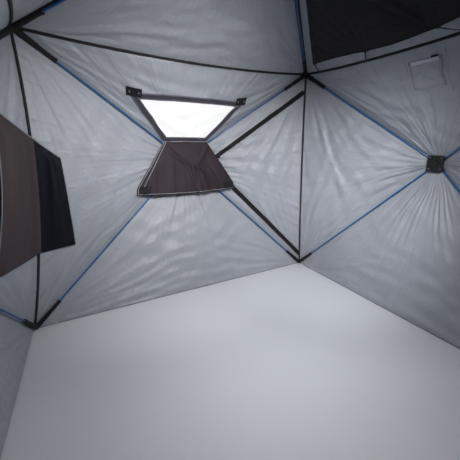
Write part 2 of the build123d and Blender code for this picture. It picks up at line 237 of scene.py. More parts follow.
class Shader:
    """The nodes of one material, ending in a Principled BSDF."""

    def __init__(self, name):
        self.material = bpy.data.materials.new(name)
        self.material.use_nodes = True
        self.tree = self.material.node_tree
        self.tree.nodes.clear()
        self.surface = self.tree.nodes.new("ShaderNodeBsdfPrincipled")
        output = self.tree.nodes.new("ShaderNodeOutputMaterial")
        self.tree.links.new(self.surface.outputs[0], output.inputs["Surface"])

    def put(self, socket, value):
        """Links a Value to a socket, or sets a plain number or colour on it."""
        if isinstance(value, Value):
            self.tree.links.new(value.socket, socket)
        elif hasattr(value, "__len__") and socket.type == "RGBA":
            socket.default_value = (*value[:3], 1.0)
        else:
            socket.default_value = value

    def node(self, kind, settings=None, inputs=None, output=0):
        """Adds a node: first its settings, then its inputs, and gives one of its outputs."""
        made = self.tree.nodes.new(kind)
        for key, value in (settings or {}).items():
            setattr(made, key, value)
        for key, value in (inputs or {}).items():
            self.put(made.inputs[key], value)
        return Value(self, made.outputs[output])

    def mix(self, factor, first, second):
        """Colour between two colours."""
        return self.node(
            "ShaderNodeMix", {"data_type": "RGBA"}, {0: factor, 6: first, 7: second}, output=2)

    def place(self, scale=(1.0, 1.0, 1.0)):
        """Place on the object, in metres, stretched by a scale."""
        where = self.node("ShaderNodeTexCoord", output=3)
        return self.node("ShaderNodeMapping", None, {"Vector": where, "Scale": scale})

    def spread(self, scale):
        """Place on the cloth, across and along it, from its flat map."""
        where = self.node("ShaderNodeUVMap", {"uv_map": "cloth"})
        return self.node("ShaderNodeMapping", None, {"Vector": where, "Scale": scale})

    def noise(self, where, scale, detail, distortion=0.0):
        return self.node(
            "ShaderNodeTexNoise", {"noise_dimensions": "3D"},
            {"Vector": where, "Scale": scale, "Detail": detail, "Distortion": distortion})

    def wave(self, where, scale, direction):
        return self.node(
            "ShaderNodeTexWave", {"wave_type": "BANDS", "bands_direction": direction},
            {"Vector": where, "Scale": scale})

    def weave(self, where, scale, directions="XZY"):
        """Fine crossing threads, as the waves of each direction added up."""
        first, *others = [self.wave(where, scale, direction) for direction in directions]
        return sum(others, first)

    def bump(self, height, distance, strength, normal=None):
        inputs = {"Height": height, "Distance": distance, "Strength": strength}
        if normal is not None:
            inputs["Normal"] = normal
        return self.node("ShaderNodeBump", None, inputs)

    def finish(self, **sockets):
        """Sets the surface's sockets by name, with _ for a space."""
        for key, value in sockets.items():
            self.put(self.surface.inputs[key.replace("_", " ")], value)
        return self.material


def shade(colour, factor):
    return tuple(c * factor for c in colour)


def quilted_cloth(name, colour, roughness, sheen, shine=0.25):
    """Coated cloth over thin padding: fine weave, small crinkles and soft blotches."""
    shader = Shader(name)
    where = shader.place()
    blotches = shader.noise(where, 3.1, 4.0, 0.6)
    dust = shader.noise(where, 46.0, 3.0)
    weave = shader.weave(where, 640.0)
    radial = shader.noise(shader.spread((1.0, 0.10, 1.0)), 21.0, 3.5, 0.8)
    crinkles = shader.noise(where, 17.0, 4.5, 1.6)
    tone = shader.mix(blotches, shade(colour, 0.90), shade(colour, 1.09))
    tone = shader.mix(dust * 0.35, tone, shade(colour, 0.82))
    relief = shader.bump(radial + crinkles * 0.8, 0.00288, 0.55)
    relief = shader.bump(weave + dust * 0.6, 0.00022, 0.35, relief)
    return shader.finish(
        Base_Color=tone, Roughness=roughness + (blotches - 0.5) * 0.16, Normal=relief,
        Sheen_Weight=sheen, Sheen_Roughness=0.45, Specular_IOR_Level=shine)


def lining_cloth(name, colour):
    """Lining with the seams along the pole lines, and painted shade that darkens it where the cloth is folded
    in at them.
    """
    shader = Shader(name)
    where = shader.place()
    blotches = shader.noise(where, 2.6, 4.0, 0.7)
    dust = shader.noise(where, 55.0, 3.0)
    radial = shader.noise(shader.spread((1.0, 0.09, 1.0)), 19.0, 4.0, 0.9)
    crinkles = shader.noise(where, 13.0, 5.0, 1.9)
    weave = shader.weave(where, 560.0)
    distance = shader.node("ShaderNodeAttribute", {"attribute_name": "seam_distance"}, output=2)
    seam = (distance / 0.0035).clamped()
    fold = (distance / 0.016).clamped()
    tone = shader.mix(blotches, shade(colour, 0.88), shade(colour, 1.10))
    tone = shader.mix(radial * 0.30, tone, shade(colour, 0.80))
    tone = shader.mix(dust * 0.22, tone, shade(colour, 0.84))
    # Painted shade: at the pole lines the colour falls toward 0.42 of the lining, over about 3.5 mm, where
    # the cloth folds in at the seam.
    tone = shader.mix(seam, shade(colour, 0.42), tone)
    relief = shader.bump(radial * 1.25 + crinkles * 0.8, 0.0070, 0.72)
    relief = shader.bump(fold, 0.0024, 0.8, relief)
    relief = shader.bump(weave + dust * 0.5, 0.0002, 0.28, relief)
    return shader.finish(
        Base_Color=tone, Roughness=0.46 + (blotches - 0.5) * 0.20, Normal=relief,
        Sheen_Weight=0.10, Sheen_Roughness=0.4, Specular_IOR_Level=0.42)


def webbing(name, colour, rib=420.0):
    """Narrow woven tape, with ribs across it."""
    shader = Shader(name)
    where = shader.place()
    ribs = shader.wave(where, rib, "DIAGONAL")
    fuzz = shader.noise(where, 160.0, 4.0)
    wear = shader.noise(where, 9.0, 3.0)
    tone = shader.mix(fuzz, shade(colour, 0.75), shade(colour, 1.35))
    tone = shader.mix(wear * 0.4, tone, shade(colour, 1.7))
    relief = shader.bump(ribs + fuzz * 0.7, 0.0005, 0.5)
    return shader.finish(Base_Color=tone, Roughness=0.72 + (wear - 0.5) * 0.15, Normal=relief,
                         Sheen_Weight=0.04, Sheen_Roughness=0.5, Specular_IOR_Level=0.2)


def hook_tape(name, colour):
    """Fuzzy closing tape, a pile of fine loops."""
    shader = Shader(name)
    where = shader.place()
    loops = shader.node("ShaderNodeTexVoronoi", {"feature": "F1"}, {"Vector": where, "Scale": 520.0})
    fuzz = shader.noise(where, 210.0, 4.0)
    mats = shader.noise(where, 24.0, 3.0)
    tone = shader.mix(fuzz, shade(colour, 0.6), shade(colour, 1.7))
    tone = shader.mix(mats * 0.5, tone, shade(colour, 1.25))
    relief = shader.bump(loops + fuzz, 0.0008, 0.8)
    return shader.finish(Base_Color=tone, Roughness=0.92, Normal=relief,
                         Sheen_Weight=0.12, Sheen_Roughness=0.6, Specular_IOR_Level=0.15)


def moulded_plastic(name, colour):
    """Moulded plastic with a fine grain and scuffed edges."""
    shader = Shader(name)
    where = shader.place()
    grain = shader.noise(where, 900.0, 2.0)
    scuffs = shader.noise(where, 60.0, 5.0, 0.8)
    tone = shader.mix(((scuffs - 0.55) * 2.5).clamped(), colour, shade(colour, 2.2))
    return shader.finish(Base_Color=tone, Roughness=0.38 + scuffs * 0.25,
                         Normal=shader.bump(grain, 0.00015, 0.4), Specular_IOR_Level=0.5)


def fibreglass(name, colour):
    """Wound glass fibre under clear resin: a slow spiral of lighter fibres."""
    shader = Shader(name)
    where = shader.place()
    fibres = shader.noise(shader.place((1.0, 1.0, 0.2)), 240.0, 4.0, 0.4)
    scuffs = shader.noise(where, 34.0, 4.0)
    tone = shader.mix(fibres, shade(colour, 0.70), shade(colour, 1.35))
    return shader.finish(Base_Color=tone, Roughness=0.22 + scuffs * 0.22,
                         Normal=shader.bump(fibres, 0.0001, 0.3), Coat_Weight=0.35, Coat_Roughness=0.15)


def loft_cloth(name, colour):
    """Black coated cloth with a faint grid of stronger threads, and broad patches of painted sheen."""
    shader = Shader(name)
    where = shader.place()
    threads = shader.wave(where, 62.0, "X").maths("GREATER_THAN", 0.93)
    threads = threads.maths("MAXIMUM", shader.wave(where, 62.0, "Y").maths("GREATER_THAN", 0.93))
    weave = shader.weave(where, 620.0, "XY")
    # Painted sheen: broad noise that makes the black lighter and darker in patches; it also gives a soft
    # relief and the roughness.
    sheen = shader.noise(where, 6.0, 4.0, 1.1)
    tone = shader.mix(sheen, shade(colour, 0.75), shade(colour, 1.35))
    tone = shader.mix(threads * 0.5, tone, shade(colour, 1.9))
    relief = shader.bump(sheen, 0.004, 0.5)
    relief = shader.bump(weave + threads * 2.0, 0.0003, 0.5, relief)
    return shader.finish(Base_Color=tone, Roughness=0.55 + sheen * 0.15, Normal=relief,
                         Specular_IOR_Level=0.16)


def brushed_metal(name):
    """Dark plated metal, lightly worn."""
    shader = Shader(name)
    where = shader.place()
    wear = shader.noise(where, 180.0, 4.0)
    tone = shader.mix(wear, srgb(70, 70, 74), srgb(128, 128, 132))
    return shader.finish(Base_Color=tone, Metallic=0.9, Roughness=0.34 + wear * 0.2,
                         Normal=shader.bump(wear, 0.0001, 0.3))


def clear_film(name, alpha):
    """Thin clear plastic film with faint haze and ripples."""
    shader = Shader(name)
    where = shader.place()
    haze = shader.noise(where, 7.0, 4.0, 0.8)
    ripples = shader.noise(where, 11.0, 2.0, 1.2)
    return shader.finish(
        Base_Color=shader.mix(haze, srgb(236, 240, 244), srgb(250, 251, 253)), Roughness=0.08 + haze * 0.1,
        Normal=shader.bump(ripples, 0.0015, 0.3), Alpha=alpha * 0.5 + haze * alpha)


# Meshes

# How thick a sheet's edge is beside its middle
thin_edge = 0.45


def finish_piece(name, points, faces, materials, slots=None, cloth_map=None, marks=None, body="hut",
                 smooth=True):
    """Makes a mesh object at the origin, which rides on a body of the frame."""
    mesh = bpy.data.meshes.new(name)
    mesh.from_pydata([tuple(p) for p in points], [], [tuple(f) for f in faces])
    for material in materials:
        mesh.materials.append(material)
    if slots is not None:
        mesh.polygons.foreach_set("material_index", np.asarray(slots, dtype=np.int32))
    corners = np.zeros(len(mesh.loops), dtype=np.int32)
    mesh.loops.foreach_get("vertex_index", corners)
    flat = np.asarray(cloth_map if cloth_map is not None else np.asarray(points)[:, :2], dtype=np.float32)
    layer = mesh.uv_layers.new(name="cloth")
    layer.data.foreach_set("uv", flat[corners].ravel())
    if marks is not None:
        attribute = mesh.attributes.new("seam_distance", "FLOAT", "POINT")
        attribute.data.foreach_set("value", np.asarray(marks, dtype=np.float32))
    mesh.polygons.foreach_set("use_smooth", np.full(len(mesh.polygons), smooth))
    mesh.update()
    piece = bpy.data.objects.new(name, mesh)
    bpy.context.scene.collection.objects.link(piece)
    if body:
        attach(piece, body)
    return piece


def face_out(piece):
    """Turns the faces of a closed mesh outward."""
    made = bmesh.new()
    made.from_mesh(piece.data)
    bmesh.ops.recalc_face_normals(made, faces=made.faces)
    made.to_mesh(piece.data)
    made.free()
    return piece


def turn(points, degrees):
    """Points turned about the hut's upright axis."""
    angle = math.radians(degrees)
    cosine, sine = math.cos(angle), math.sin(angle)
    points = np.asarray(points, dtype=float)
    out = points.copy()
    out[..., 0] = points[..., 0] * cosine - points[..., 1] * sine
    out[..., 1] = points[..., 0] * sine + points[..., 1] * cosine
    return out


def inset(points, depth):
    """Points moved toward the core, as the cloth's inner faces lie."""
    share = np.asarray(depth)[..., None] if np.ndim(depth) else depth
    return core + (np.asarray(points, dtype=float) - core) * (1.0 - share / reach)


def seam_arc(start, end, bow, t):
    """Points along a seam that is drawn in toward the core at its middle."""
    a, b = np.array(start), np.array(end)
    middle = (a + b) / 2
    inward = (core - middle) / np.linalg.norm(core - middle)
    t = np.asarray(t, dtype=float)[..., None]
    return a + t * (b - a) + 4 * t * (1 - t) * bow * inward


def smooth_step(x, low, high):
    t = np.clip((x - low) / (high - low), 0.0, 1.0)
    return t * t * (3 - 2 * t)


def unit(vectors):
    length = np.linalg.norm(vectors, axis=-1, keepdims=True)
    return vectors / np.maximum(length, 1e-9)


def inward_of(points):
    """Unit vectors from points toward the core."""
    return unit(core - points)


def draws(piece, number=0):
    """Random draws for a piece, or for one of several like pieces."""
    return np.random.default_rng(seeds[piece] + number)


def off_lining(layer):
    """Depth in from the outer skin at which a layer sewn to the lining lies."""
    return cloth_depth + lifts[layer]


def lie(path, upward=None):
    """The side and the upward of a strip along a path, whose flat side faces the core, or another way."""
    way = unit(np.gradient(np.asarray(path), axis=0))
    side = unit(np.cross(way, inward_of(path) if upward is None else upward))
    return side, np.cross(side, way)


def hang(path, across):
    """The upward of a strip along a path, when its side is given."""
    return unit(np.cross(across, unit(np.gradient(path, axis=0))))


def ripples(x, rng, low, high, count=6):
    """Waves along x with mixed lengths, between low and high waves a unit, from about -1 to 1."""
    total = np.zeros_like(x)
    for _ in range(count):
        total += np.sin(2 * np.pi * (rng.uniform(low, high) * x + rng.uniform())) * rng.uniform(0.5, 1.0)
    return total / math.sqrt(count)


def fan(points, corner, edge, rng, spread, low, high):
    """Creases that spread from a corner, as waves over the angle about it."""
    arm = points - corner
    distance = np.linalg.norm(arm, axis=-1)
    along = unit(np.asarray(edge) - corner)
    angle = np.arccos(np.clip(unit(arm) @ along, -1, 1))
    angle = angle + 0.05 * ripples(distance, rng, 0.6, 1.6, 3)
    height = (distance / spread) * np.exp(1 - distance / spread)
    return ripples(angle, rng, low, high) * height


def sharp(waves):
    """Waves with narrow ridges in place of round ones."""
    return np.sign(waves) * np.abs(waves) ** 1.6


class Cloth:
    """The cloth of one wall or of the roof, as rings of points about its hub."""

    def __init__(self, seams, hub, degrees, rng, settings):
        self.hub = np.array(hub)
        self.degrees = degrees
        self.upright = abs(hub[2] - roof_hub_height) > 1e-6
        self.columns = settings.columns
        t = np.arange(self.columns) / self.columns
        self.ring = np.concatenate([seam_arc(a, b, bow, t) for a, b, bow in seams])
        steps = np.linspace(0.0, 1.0, settings.rows + 1)
        self.out = neck_share + (1 - neck_share) * (1 - (1 - steps) ** 1.15)
        self.rest = self.hub + self.out[:, None, None] * (self.ring - self.hub)
        length = np.linalg.norm(self.ring - self.hub, axis=-1)
        side = np.concatenate([np.full(self.columns, np.linalg.norm(np.subtract(b, a))) for a, b, _ in seams])
        part = np.tile(t, len(seams))
        pole_gap = np.minimum(part, 1 - part) * side * self.out[:, None]
        seam_gap = (1 - self.out[:, None]) * length
        self.pole_gap = pole_gap
        height = np.zeros(pole_gap.shape)
        for number, (start, end, _) in enumerate(seams):
            span = slice(number * self.columns, (number + 1) * self.columns)
            points = self.rest[:, span]
            hub_edge = start if number % 2 else end
            for corner, edge, fans in ((start, end, corner_fans), (end, start, corner_fans),
                                       (self.hub, hub_edge, hub_fans)):
                for spread, low, high, share, ridged in fans:
                    waves = fan(points, np.array(corner), edge, rng, spread, low, high)
                    height[:, span] += share * (sharp(waves) if ridged else waves)
        around = np.cumsum(side / self.columns)
        height += gather_share * (ripples(around, rng, 9.0, 17.0, 8) * np.exp(-seam_gap / gather_reach))
        plane = self.flat(self.rest)
        waves = ripples(plane[..., 0] + 0.35 * plane[..., 1], rng, 0.8, 2.2, 4)
        waves += ripples(plane[..., 1] - 0.3 * plane[..., 0], rng, 0.8, 2.2, 4)
        height = height * settings.crease_height + waves * 0.6 * settings.wave_height
        hold = smooth_step(pole_gap, 0.0, pole_hold) * smooth_step(seam_gap, 0.0, seam_hold)
        self.height = np.clip(height * hold, *crease_limits)
        self.map = np.stack([np.broadcast_to(around, pole_gap.shape), self.out[:, None] * length], -1)
        flat_ring = self.flat(self.ring)
        turned = np.unwrap(np.arctan2(flat_ring[:, 1], flat_ring[:, 0]))
        self.way = 1.0 if turned[-1] > turned[0] else -1.0
        self.angles = turned * self.way
        self.radii = np.linalg.norm(flat_ring, axis=-1)

    def flat(self, points):
        """The two coordinates across a wall from its hub, or across the roof."""
        if self.upright:
            return np.stack([points[..., 0], points[..., 2] - self.hub[2]], -1)
        return points[..., :2]

    def place(self, share, column, depth, wrinkles=1.0):
        """Points at a share of the way out and a column round, at a depth in the cloth."""
        count = len(self.ring)
        row = np.interp(share, self.out, np.arange(len(self.out)))
        low_row = np.clip(np.floor(row).astype(int), 0, len(self.out) - 2)
        low_column = np.floor(column).astype(int)
        up = (row - low_row)[..., None]
        over = (column - low_column)[..., None]
        first, second = low_column % count, (low_column + 1) % count

        def between(grid, up, over):
            low = (1 - over) * grid[low_row, first] + over * grid[low_row, second]
            high = (1 - over) * grid[low_row + 1, first] + over * grid[low_row + 1, second]
            return (1 - up) * low + up * high

        point = between(self.rest, up, over)
        rise = between(self.height, up[..., 0], over[..., 0])
        return turn(inset(point, wrinkles * rise + depth), self.degrees)

    def over(self, across, along, depth, wrinkles=1.0):
        """Points on the cloth over places given as X and Z of the back wall, or X and Y of the roof."""
        across, along = np.broadcast_arrays(np.asarray(across, float), np.asarray(along, float))
        rise = along - self.hub[2] if self.upright else along
        angle = np.arctan2(rise, across) * self.way
        angle = self.angles[0] + (angle - self.angles[0]) % (2 * np.pi)
        angles = np.append(self.angles, self.angles[0] + 2 * np.pi)
        column = np.interp(angle, angles, np.arange(len(angles)))
        radii = np.append(self.radii, self.radii[0])
        share = np.hypot(across, rise) / np.interp(column, np.arange(len(angles)), radii)
        return self.place(share, column, depth, wrinkles)

    def skin(self):
        """The outer skin as a bmesh, before it is turned to its wall, with its map and seam distance."""
        made = bmesh.new()
        around, out, seam = [made.verts.layers.float.new(key) for key in ("around", "out", "seam")]
        points = inset(self.rest, self.height)
        rows, columns = self.height.shape
        verts = []
        for row in range(rows):
            line = []
            for column in range(columns):
                vert = made.verts.new(points[row, column])
                vert[around], vert[out] = self.map[row, column]
                vert[seam] = self.pole_gap[row, column]
                line.append(vert)
            verts.append(line)
        for row in range(rows - 1):
            for column in range(columns):
                after = (column + 1) % columns
                made.faces.new((verts[row][column], verts[row + 1][column],
                                verts[row + 1][after], verts[row][after]))
        return made


def inside(outline, point, grow=0.0):
    """Whether a point is inside a convex outline given clockwise."""
    for (ax, az), (bx, bz) in zip(outline, outline[1:] + outline[:1]):
        length = math.hypot(bx - ax, bz - az)
        if ((point[0] - ax) * (bz - az) - (point[1] - az) * (bx - ax)) / length < -grow:
            return False
    return True


def cut_line(made, start, end, shift, reach_of):
    """Cuts the skin along a line drawn in X and Z, moved outward by a shift."""
    direction = Vector((end[0] - start[0], 0.0, end[1] - start[1])).normalized()
    normal = Vector((-direction.z, 0.0, direction.x))
    through = Vector((start[0], 0.0, start[1])) + normal * shift
    faces = [f for f in made.faces if reach_of(f.calc_center_median())]
    edges = {e for f in faces for e in f.edges}
    verts = {v for f in faces for v in f.verts}
    bmesh.ops.bisect_plane(
        made, geom=[*faces, *edges, *verts], plane_co=through, plane_no=normal, dist=cut_tolerance)


def cut_hole(made, outline):
    """Cuts a convex hole, drawn in X and Z, out of the skin."""
    margin = 0.05
    across, up = zip(*outline)

    def near(place):
        return (min(across) - margin < place.x < max(across) + margin
                and min(up) - margin < place.z < max(up) + margin)

    for start, end in zip(outline, outline[1:] + outline[:1]):
        cut_line(made, start, end, 0.0, near)
    gone = [f for f in made.faces if inside(outline, (f.calc_center_median().x, f.calc_center_median().z))]
    bmesh.ops.delete(made, geom=gone, context="FACES")


def thick_skin(made, name, materials, degrees, body="hut"):
    """Closes a skin to a sheet with a lining on its inner side."""
    around, out, seam = [made.verts.layers.float[key] for key in ("around", "out", "seam")]
    made.verts.ensure_lookup_table()
    made.verts.index_update()
    outer = np.array([v.co for v in made.verts])
    inner = inset(outer, cloth_depth)
    count = len(outer)
    faces, slots = [], []
    for face in made.faces:
        ring = [v.index for v in face.verts]
        faces.append(ring)
        slots.append(0)
        faces.append([i + count for i in reversed(ring)])
        slots.append(1)
    for edge in made.edges:
        if edge.is_boundary:
            a, b = edge.link_loops[0].vert.index, edge.link_loops[0].link_loop_next.vert.index
            faces.append((b, a, a + count, b + count))
            slots.append(2)
    flat = np.array([(v[around], v[out]) for v in made.verts])
    marks = np.array([v[seam] for v in made.verts])
    made.free()
    piece = finish_piece(name, turn(np.concatenate([outer, inner]), degrees), faces, materials, slots,
                         np.concatenate([flat, flat]), np.concatenate([marks, marks]), body)
    return face_out(piece)


def sweep(name, path, side, normal, half_width, half_thick, material, degrees=0.0, corners=10, square=0.55):
    """A strip or tube with a rounded section along a path, turned about the hut. Widths may change."""
    path, side, normal = (turn(v, degrees) for v in (path, side, normal))
    count = len(path)
    half_width = np.broadcast_to(half_width, count)
    half_thick = np.broadcast_to(half_thick, count)
    angle = np.linspace(0, 2 * np.pi, corners, endpoint=False)
    across = np.sign(np.cos(angle)) * np.abs(np.cos(angle)) ** square
    up = np.sign(np.sin(angle)) * np.abs(np.sin(angle)) ** square
    points = (path[:, None] + side[:, None] * (half_width[:, None] * across)[..., None]
              + normal[:, None] * (half_thick[:, None] * up)[..., None])
    step = np.append(0.0, np.cumsum(np.linalg.norm(np.diff(path, axis=0), axis=-1)))
    flat = np.stack([np.broadcast_to(step[:, None], points.shape[:2]),
                     half_width[:, None] * across], -1).reshape(-1, 2)
    faces = []
    for row in range(count - 1):
        for column in range(corners):
            after = (column + 1) % corners
            faces.append((row * corners + column, row * corners + after,
                          (row + 1) * corners + after, (row + 1) * corners + column))
    faces.append(tuple(range(corners)))
    faces.append(tuple(reversed(range((count - 1) * corners, count * corners))))
    return face_out(finish_piece(name, points.reshape(-1, 3), faces, [material], cloth_map=flat))


def sheet_of(name, grid, thickness, material, faces_to=core):
    """A sheet from a grid of points and the same grid set off to the side that faces a point."""
    rows, columns = grid.shape[:2]
    along = np.gradient(grid, axis=0)
    across = np.gradient(grid, axis=1)
    normal = unit(np.cross(along, across))
    if np.sum(normal * (np.asarray(faces_to) - grid)) < 0:
        normal = -normal
    depth = np.full((rows, columns, 1), thickness)
    depth[[0, -1]] = depth[:, [0, -1]] = thin_edge * thickness
    flat = grid.reshape(-1, 3)
    back = (grid + normal * depth).reshape(-1, 3)
    count = len(flat)
    faces = []

    def number(row, column):
        return row * columns + column

    for row in range(rows - 1):
        for column in range(columns - 1):
            ring = (number(row, column), number(row, column + 1),
                    number(row + 1, column + 1), number(row + 1, column))
            faces.append(ring)
            faces.append(tuple(i + count for i in reversed(ring)))
    rim = ([number(0, c) for c in range(columns)] + [number(r, columns - 1) for r in range(1, rows)]
           + [number(rows - 1, c) for c in range(columns - 2, -1, -1)]
           + [number(r, 0) for r in range(rows - 2, 0, -1)])
    for a, b in zip(rim, rim[1:] + rim[:1]):
        faces.append((b, a, a + count, b + count))
    step_across = np.cumsum(np.linalg.norm(np.diff(grid, axis=1, prepend=grid[:, :1]), axis=-1), axis=1)
    step_along = np.cumsum(np.linalg.norm(np.diff(grid, axis=0, prepend=grid[:1]), axis=-1), axis=0)
    spread = np.stack([step_across, step_along], -1).reshape(-1, 2)
    return face_out(finish_piece(name, np.concatenate([flat, back]), faces, [material],
                                 cloth_map=np.concatenate([spread, spread])))


def join(pieces, name):
    """Joins meshes that share one material into one piece."""
    points, faces, maps = [], [], []
    count = 0
    materials = list(pieces[0].data.materials)
    for piece in pieces:
        mesh = piece.data
        points.extend(tuple(v.co) for v in mesh.vertices)
        flat = np.zeros((len(mesh.vertices), 2))
        uv = np.zeros(len(mesh.loops) * 2, dtype=np.float32)
        mesh.uv_layers["cloth"].data.foreach_get("uv", uv)
        corners = np.zeros(len(mesh.loops), dtype=np.int32)
        mesh.loops.foreach_get("vertex_index", corners)
        flat[corners] = uv.reshape(-1, 2)
        maps.append(flat)
        faces.extend(tuple(i + count for i in polygon.vertices) for polygon in mesh.polygons)
        count += len(mesh.vertices)
        bpy.data.objects.remove(piece)
    return finish_piece(name, points, faces, materials, cloth_map=np.concatenate(maps))


def line_between(start, end, step=0.012):
    """Places from start to end, closely spaced."""
    start, end = np.array(start, float), np.array(end, float)
    count = max(int(np.linalg.norm(end - start) / step) + 1, 2)
    return start + np.linspace(0, 1, count)[:, None] * (end - start)


def line_on(cloth, start, end, depth, shift=0.0, step=0.012):
    """Points on the inner side of a cloth, along a line drawn in X and Z and moved square to it."""
    way = np.subtract(end, start) / np.linalg.norm(np.subtract(end, start))
    places = line_between(start, end, step) + shift * np.array((-way[1], way[0]))
    return cloth.over(places[:, 0], places[:, 1], depth)


def ribbon_on(cloth, name, start, end, half, depth, material, shift=0.0, thickness=0.0022, across=7):
    """A flat tape that follows the inner side of a cloth."""
    lines = [line_on(cloth, start, end, depth, shift + side) for side in np.linspace(-half, half, across)]
    return sheet_of(name, np.stack(lines, axis=1), thickness, material)


def cord_along(name, path, radius, material):
    """A thin round cord along a path, such as piping."""
    return sweep(name, path, *lie(path), radius, radius, material, corners=8, square=1.0)


def spindles(name, paths, pitch, length, width, material, square_to_path=False):
    """Stitches of thread along paths, or teeth of a zip when they lie square to the path."""
    points, faces = [], []
    for path in paths:
        step = np.append(0.0, np.cumsum(np.linalg.norm(np.diff(path, axis=0), axis=-1)))
        places = np.arange(pitch, step[-1] - pitch / 2, pitch)
        middle = np.stack([np.interp(places, step, path[:, axis]) for axis in range(3)], -1)
        way = unit(np.gradient(middle, axis=0))
        normal = inward_of(middle)
        side = unit(np.cross(way, normal))
        if square_to_path:
            way, side = side, way
        for place, along, square, up in zip(middle, way, side, normal):
            first = len(points)
            points.extend((place - along * length / 2, place + along * length / 2, place - square * width,
                           place + up * width, place + square * width, place - up * width))
            for a, b in ((2, 3), (3, 4), (4, 5), (5, 2)):
                faces.append((first, first + a, first + b))
                faces.append((first + 1, first + b, first + a))
    return face_out(finish_piece(name, points, faces, [material], smooth=False))


def square_to(axis):
    """The unit vector of an axis and two that stand square to it."""
    axis = unit(np.asarray(axis, float))
    first_side = unit(np.cross(axis, (0.31, 0.77, 0.55)))
    return axis, first_side, np.cross(axis, first_side)


def lathe(name, spots, profile, material):
    """Small turned pieces, such as snaps: the profile is (radius, height), each spot a place and its axis."""
    points, faces = [], []
    sides = 20
    angle = np.linspace(0, 2 * np.pi, sides, endpoint=False)
    for place, axis in spots:
        axis, first_side, second_side = square_to(axis)
        first = len(points)
        for radius, height in profile:
            ring = (np.asarray(place) + axis * height + radius * (np.cos(angle)[:, None] * first_side
                                                                   + np.sin(angle)[:, None] * second_side))
            points.extend(ring)
        for row in range(len(profile) - 1):
            for column in range(sides):
                after = (column + 1) % sides
                low, high = first + row * sides, first + (row + 1) * sides
                faces.append((low + column, low + after, high + after, high + column))
        faces.append(tuple(range(first, first + sides)))
        last = first + (len(profile) - 1) * sides
        faces.append(tuple(range(last, last + sides)))
    return face_out(finish_piece(name, points, faces, [material]))


def ring_of(name, place, axis, radius, thickness, material):
    """A round plastic ring."""
    axis, first_side, second_side = square_to(axis)
    points, faces = [], []
    around, tube = 28, 10
    for number in range(around):
        turn_angle = 2 * np.pi * number / around
        out = first_side * math.cos(turn_angle) + second_side * math.sin(turn_angle)
        for part in range(tube):
            tube_angle = 2 * np.pi * part / tube
            points.append(np.asarray(place) + out * (radius + thickness * math.cos(tube_angle))
                          + axis * thickness * math.sin(tube_angle))
            after, next_part = (number + 1) % around, (part + 1) % tube
            faces.append((number * tube + part, after * tube + part, after * tube + next_part,
                          number * tube + next_part))
    return face_out(finish_piece(name, points, faces, [material]))


# What the operators share: the materials and the cloth of each wall
shared = {}


def shared_materials(context):
    """The hut's materials, made once."""
    if "lining" not in shared:
        cloth = context.scene.hut_cloth
        hardware = context.scene.hut_hardware
        black = tuple(cloth.black_colour)
        shared.update(
            lining=lining_cloth("grey lining", tuple(cloth.lining_colour)),
            shell=quilted_cloth("outer shell", tuple(cloth.shell_colour), 0.6, 0.1),
            cover=quilted_cloth("cover cloth", tuple(cloth.cover_colour), 0.62, 0.02, shine=0.15),
            pocket=quilted_cloth("pocket cloth", pocket_colour, 0.62, 0.02, shine=0.2),
            binding=webbing("seam binding", black),
            piping=webbing("light edging", edging_colour),
            sleeve=webbing("pole sleeve", shade(black, 0.8), 300.0),
            tape=hook_tape("closing tape", tape_colour),
            tape_edge=hook_tape("tape edge", tape_edge_colour),
            plastic=moulded_plastic("hub plastic", tuple(hardware.plastic_colour)),
            poles=fibreglass("blue fibreglass", tuple(hardware.pole_colour)),
            film=clear_film("window film", hardware.film_alpha),
            hem=quilted_cloth("hemmed lining", shade(tuple(cloth.lining_colour), 1.06), 0.5, 0.1),
            # The vent's top hem: the lining painted 1.75 times lighter, a painted highlight on the folded top
            # edge.
            vent_hem=quilted_cloth("vent hem highlight", shade(tuple(cloth.lining_colour), 1.75), 0.5, 0.1),
            navy=quilted_cloth("dark cover lining", cover_lining_colour, 0.6, 0.0, shine=0.12),
            loft=loft_cloth("loft cloth", black),
            thread=webbing("thread", thread_colour, 900.0),
            metal=brushed_metal("dark metal"),
        )
    return shared


def shared_cloth(context, wall):
    """The cloth of a wall, or of the roof, worked out once."""
    if wall not in shared:
        settings = context.scene.hut_cloth
        if wall == "roof":
            corners = (top_left, top_right, (top_half, -top_half, corner_height),
                       (-top_half, -top_half, corner_height))
            seams = [(a, b, eaves_bow) for a, b in zip(corners, corners[1:] + corners[:1])]
            shared[wall] = Cloth(seams, (0.0, 0.0, roof_hub_height), 0.0, draws("roof"), settings)
        else:
            seams = [eaves_seam, corner_seam, (base_right, base_left, 0.0), (base_left, top_left, seam_bow)]
            rng = draws("wall", list(wall_turns).index(wall))
            shared[wall] = Cloth(seams, (0.0, hub_reach, hub_height), wall_turns[wall], rng, settings)
    return shared[wall]


class HUT_OT_cloth(bpy.types.Operator):
    """Makes the cloth of the walls, the roof and the door, with the window and vent openings cut"""
    bl_idname = "hut.cloth"
    bl_label = "Walls, roof and door"

    def execute(self, context):
        kit = shared_materials(context)
        materials = [kit["shell"], kit["lining"], kit["binding"]]
        for wall in ("back", "left", "front", "right", "roof"):
            cloth = shared_cloth(context, wall)
            made = cloth.skin()
            if wall in ("back", "front"):
                cut_hole(made, window_outline)
            elif wall != "roof":
                cut_hole(made, vent_corners(vent_margin))
            if wall == "back":
                door = cut_door(made)
                hang_door(door, materials)
            piece = thick_skin(made, f"{wall}_cloth", materials, cloth.degrees)
            if wall == "roof":
                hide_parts(*(f"roof_{side}" for side in wall_turns))
            else:
                nodes = [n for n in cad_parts
                         if n.startswith(f"{wall}_wall_") and not n.endswith("poles")]
                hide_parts(*nodes)
        return {"FINISHED"}


